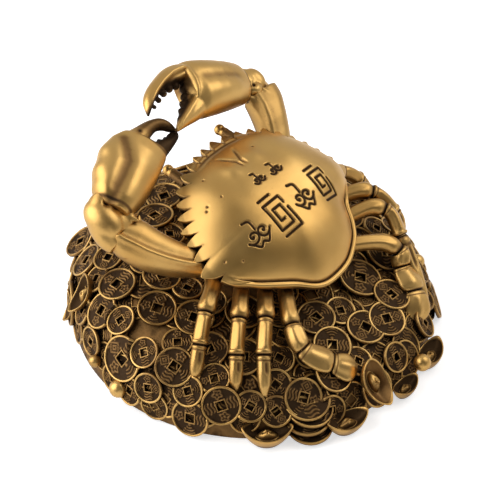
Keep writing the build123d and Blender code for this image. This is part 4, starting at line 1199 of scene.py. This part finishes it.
def ingot_form(share):
    """Boat with raised pointed ends, a thin rim, a hollow and a dome in it, with its patina."""
    around = turns(INGOT_COLUMNS)[None]
    height = INGOT_HEIGHT * share
    pointed = np.abs(np.cos(around))
    x_out = INGOT_LENGTH * share / 2 * np.cos(around)
    y_out = INGOT_WIDTH * share / 2 * np.sin(around) * (1 - 0.25 * pointed**4)
    rim = height * (0.7 + 0.3 * pointed**2)
    shares = np.linspace(0.02, 0.9, 30)[:, None]
    knob = 0.52 * np.sqrt(np.clip(1 - (shares / 0.46) ** 2, 0, 1))
    inner = np.maximum(knob * (1.1 - 0.3 * pointed) + 0.26, 0.3 + 0.62 * shares**2.2)
    rings = [space(x_out * shares, y_out * shares, np.minimum(inner * height, rim))]
    for size, lift in ((0.94, 0.1), (0.97, 0.25), (1.0, 0.1), (1.0, -0.4)):
        rings.append(space(x_out * size, y_out * size, rim + lift * share))
    for depth, size in ((0.2, 0.96), (0.45, 0.86), (0.7, 0.72), (0.9, 0.58), (1.0, 0.5)):
        rings.append(space(x_out * size, y_out * size, rim * (1 - depth)))
    vertices, faces = lathe_caps(np.concatenate(rings))
    # patina by ring: the bowl round its bright dome, then the lip and the hull, and the middles of both ends
    bowl_ages = np.where(knob[:, 0] > 0.12, 0.12, 0.85)
    ring_ages = np.concatenate([bowl_ages, np.repeat((0, 0.1, 0.35), (4, 2, 3))])
    return vertices, faces, np.concatenate([np.repeat(ring_ages, INGOT_COLUMNS), (0.1, 0.6)])


def ornaments(material):
    boats = []
    for bearing, height_share, share, stand in INGOTS:
        if height_share == 0:
            angle = math.radians(bearing)
            out = np.array((math.cos(angle), math.sin(angle), 0))
            centre = out * (HEAP_RADIUS - INGOT_BACK + stand) + (0, 0, HEAP_FOOT)
            axes = ((-out[1], out[0], 0), -out, (0, 0, 1))
        else:
            point, normal = on_wall(bearing, height_share)
            centre = point + normal * stand
            axes = coin_axes(normal, 0, 0)
        vertices, faces, patina_and_shade = ingot_form(share)
        boats.append((vertices @ np.stack(axes) + centre, faces, patina_and_shade))
    piece("ingot_boats", join(boats), material, ["ingots"])
    bearing, height_share, share, stand = STANDING_INGOT
    point, normal = on_wall(bearing, height_share)
    sideways = norm(np.cross((0, 0, 1), normal))
    vertices, faces, patina_and_shade = ingot_form(share)
    vertices = vertices @ np.stack([np.cross(normal, sideways), -sideways, normal]) + point + normal * stand
    piece("standing_ingot", (vertices, faces, 0.6 * patina_and_shade), material, [])
    beads = []
    for bearing, height_share, share, stand in BEADS:
        point, normal = on_wall(bearing, height_share)
        radius = BEAD * share / 2
        vertices, faces = ball(point + normal * (radius + stand), radius)
        beads.append((vertices, faces, np.zeros(len(vertices))))
    piece("bead_balls", join(beads), material, ["beads"])


def camera():
    back = np.array([math.sin(VIEW_AZIMUTH) * math.cos(VIEW_ELEVATION),
                     -math.cos(VIEW_AZIMUTH) * math.cos(VIEW_ELEVATION), math.sin(VIEW_ELEVATION)])
    target = heap_centre() + np.array(VIEW_TARGET)
    data = bpy.data.cameras.new("camera")
    data.sensor_width = SENSOR
    data.lens = SENSOR * VIEW_DISTANCE / (MM_PER_PIXEL * IMAGE_PIXELS)
    thing = new_object("camera", data)
    thing.location = Vector((target + back * VIEW_DISTANCE) * MM)
    thing.rotation_euler = Vector(back).to_track_quat("Z", "Y").to_euler()
    bpy.context.scene.camera = thing


def lamp(name, place, size, power, target):
    data = bpy.data.lights.new(name, "AREA")
    data.shape = "DISK"
    data.size = size
    data.energy = power
    thing = new_object(name, data)
    thing.location = Vector(place)
    thing.rotation_euler = (Vector(place) - Vector(target)).to_track_quat("Z", "Y").to_euler()


WORLD_LIGHT = 0.57
WORLD_SHADE = 0.12
FLOOR_GLOW = 0.62
FLOOR_MIRRORED_GLOW = 0.3
FLOOR_HALF_SIDE = 3
LAMP_AIM_HEIGHT = 0.07
# Name, place towards the viewer, to the right and up, diameter, power
LAMPS = (
    ("key", -0.16, 0.64, 0.8, 0.8, 3.1),
    ("left", 0.15, -0.95, 0.65, 1.45, 14.0),
    ("low", 1.0, 0.15, 0.25, 0.35, 0.35),
)


def studio():
    """Pale floor, even world, and soft lamps."""
    world = bpy.data.worlds.new("studio")
    bpy.context.scene.world = world
    world.use_nodes = True
    tree = world.node_tree
    background = tree.nodes["Background"]
    background.inputs["Color"].default_value = (1, 1, 1, 1)
    right = np.array([math.cos(VIEW_AZIMUTH), math.sin(VIEW_AZIMUTH), 0])
    towards = np.array([math.sin(VIEW_AZIMUTH), -math.cos(VIEW_AZIMUTH), 0])
    direction = node(tree, "ShaderNodeTexCoord").outputs["Generated"]
    facing = node(tree, "ShaderNodeVectorMath", operation="DOT_PRODUCT")
    tree.links.new(direction, facing.inputs[0])
    facing.inputs[1].default_value = tuple(norm(towards + (0, 0, 0.6)))
    shade = ramp(tree, facing.outputs["Value"], 0.1, 0.9)
    dimmed = maths(tree, "MULTIPLY", shade, WORLD_LIGHT - WORLD_SHADE)
    tree.links.new(maths(tree, "SUBTRACT", WORLD_LIGHT, dimmed), background.inputs["Strength"])
    centre = heap_centre() * MM
    aim = centre + (0, 0, LAMP_AIM_HEIGHT)
    for name, toward, aside, height, size, power in LAMPS:
        lamp(name, centre + towards * toward + right * aside + (0, 0, height), size, power, aim)
    corners = np.array([(-1, -1, 0), (1, -1, 0), (1, 1, 0), (-1, 1, 0)]) * FLOOR_HALF_SIDE / MM
    mesh = new_mesh("floor", corners, [(0, 1, 2, 3)])
    floor = new_object("floor", mesh)
    material, tree = new_material("floor")
    tree.nodes.clear()
    path = node(tree, "ShaderNodeLightPath")
    diffuse = node(tree, "ShaderNodeBsdfDiffuse", Color=(0.8, 0.8, 0.8, 1))
    glow = node(tree, "ShaderNodeEmission", Color=(1, 1, 1, 1))
    seen = maths(tree, "MULTIPLY", path.outputs["Is Camera Ray"], FLOOR_GLOW)
    mirrored = maths(tree, "MULTIPLY", path.outputs["Is Glossy Ray"], FLOOR_MIRRORED_GLOW)
    tree.links.new(maths(tree, "ADD", seen, mirrored), glow.inputs["Strength"])
    total = node(tree, "ShaderNodeAddShader")
    for shader, socket in zip((diffuse, glow), total.inputs):
        tree.links.new(shader.outputs[0], socket)
    output = node(tree, "ShaderNodeOutputMaterial")
    tree.links.new(total.outputs[0], output.inputs["Surface"])
    mesh.materials.append(material)


def keep_nodes(frame):
    """CAD nodes that stay in view get their finishes."""
    dark = antique_brass("heap_patina", 0.9, 7, 0.5, 1.0, (0.15, 0.082, 0.03, 1), (0.1, 0.055, 0.022, 1))
    under = antique_brass("underbody_brass", 0.4, 6)
    plate = plain_material("plate_brass", (0.5, 0.36, 0.16, 1), 1.0, 0.35, 40.0, 0.1)
    steel = plain_material("screw_steel", (0.55, 0.55, 0.56, 1), 1.0, 0.3, 60.0, 0.1)
    felt = plain_material("felt", (0.03, 0.03, 0.032, 1), 0.0, 0.95, 900.0, 0.8)
    finishes = {"mound_casting": dark, "underbody": under, "base_plate": plate, "plate_screws": steel,
                "body_screws": steel, "felt_pad": felt}
    for name, material in finishes.items():
        thing = frame["nodes"][name]
        thing.data.materials.clear()
        thing.data.materials.append(material)


def main():
    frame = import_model()
    bpy.context.scene.view_settings.view_transform = "Standard"
    camera()
    studio()
    crab_brass = antique_brass("crab_brass", 0.1, 4, 0.33)
    claw_brass = antique_brass("claw_brass", 0.12, 4, 0.34)
    coin_brass = antique_brass("coin_brass", 0.45, 5, 0.34, 0.25)
    keep_nodes(frame)
    shell(crab_brass)
    for side in ("left", "right"):
        palm(side, claw_brass)
        moving_finger(side, claw_brass)
        arm(side, claw_brass)
        wrist(side, claw_brass)
        eye(side, crab_brass)
    for name, shares in LEG_SHARES.items():
        leg(name, shares, crab_brass)
    coins(coin_brass)
    ornaments(coin_brass)


main()
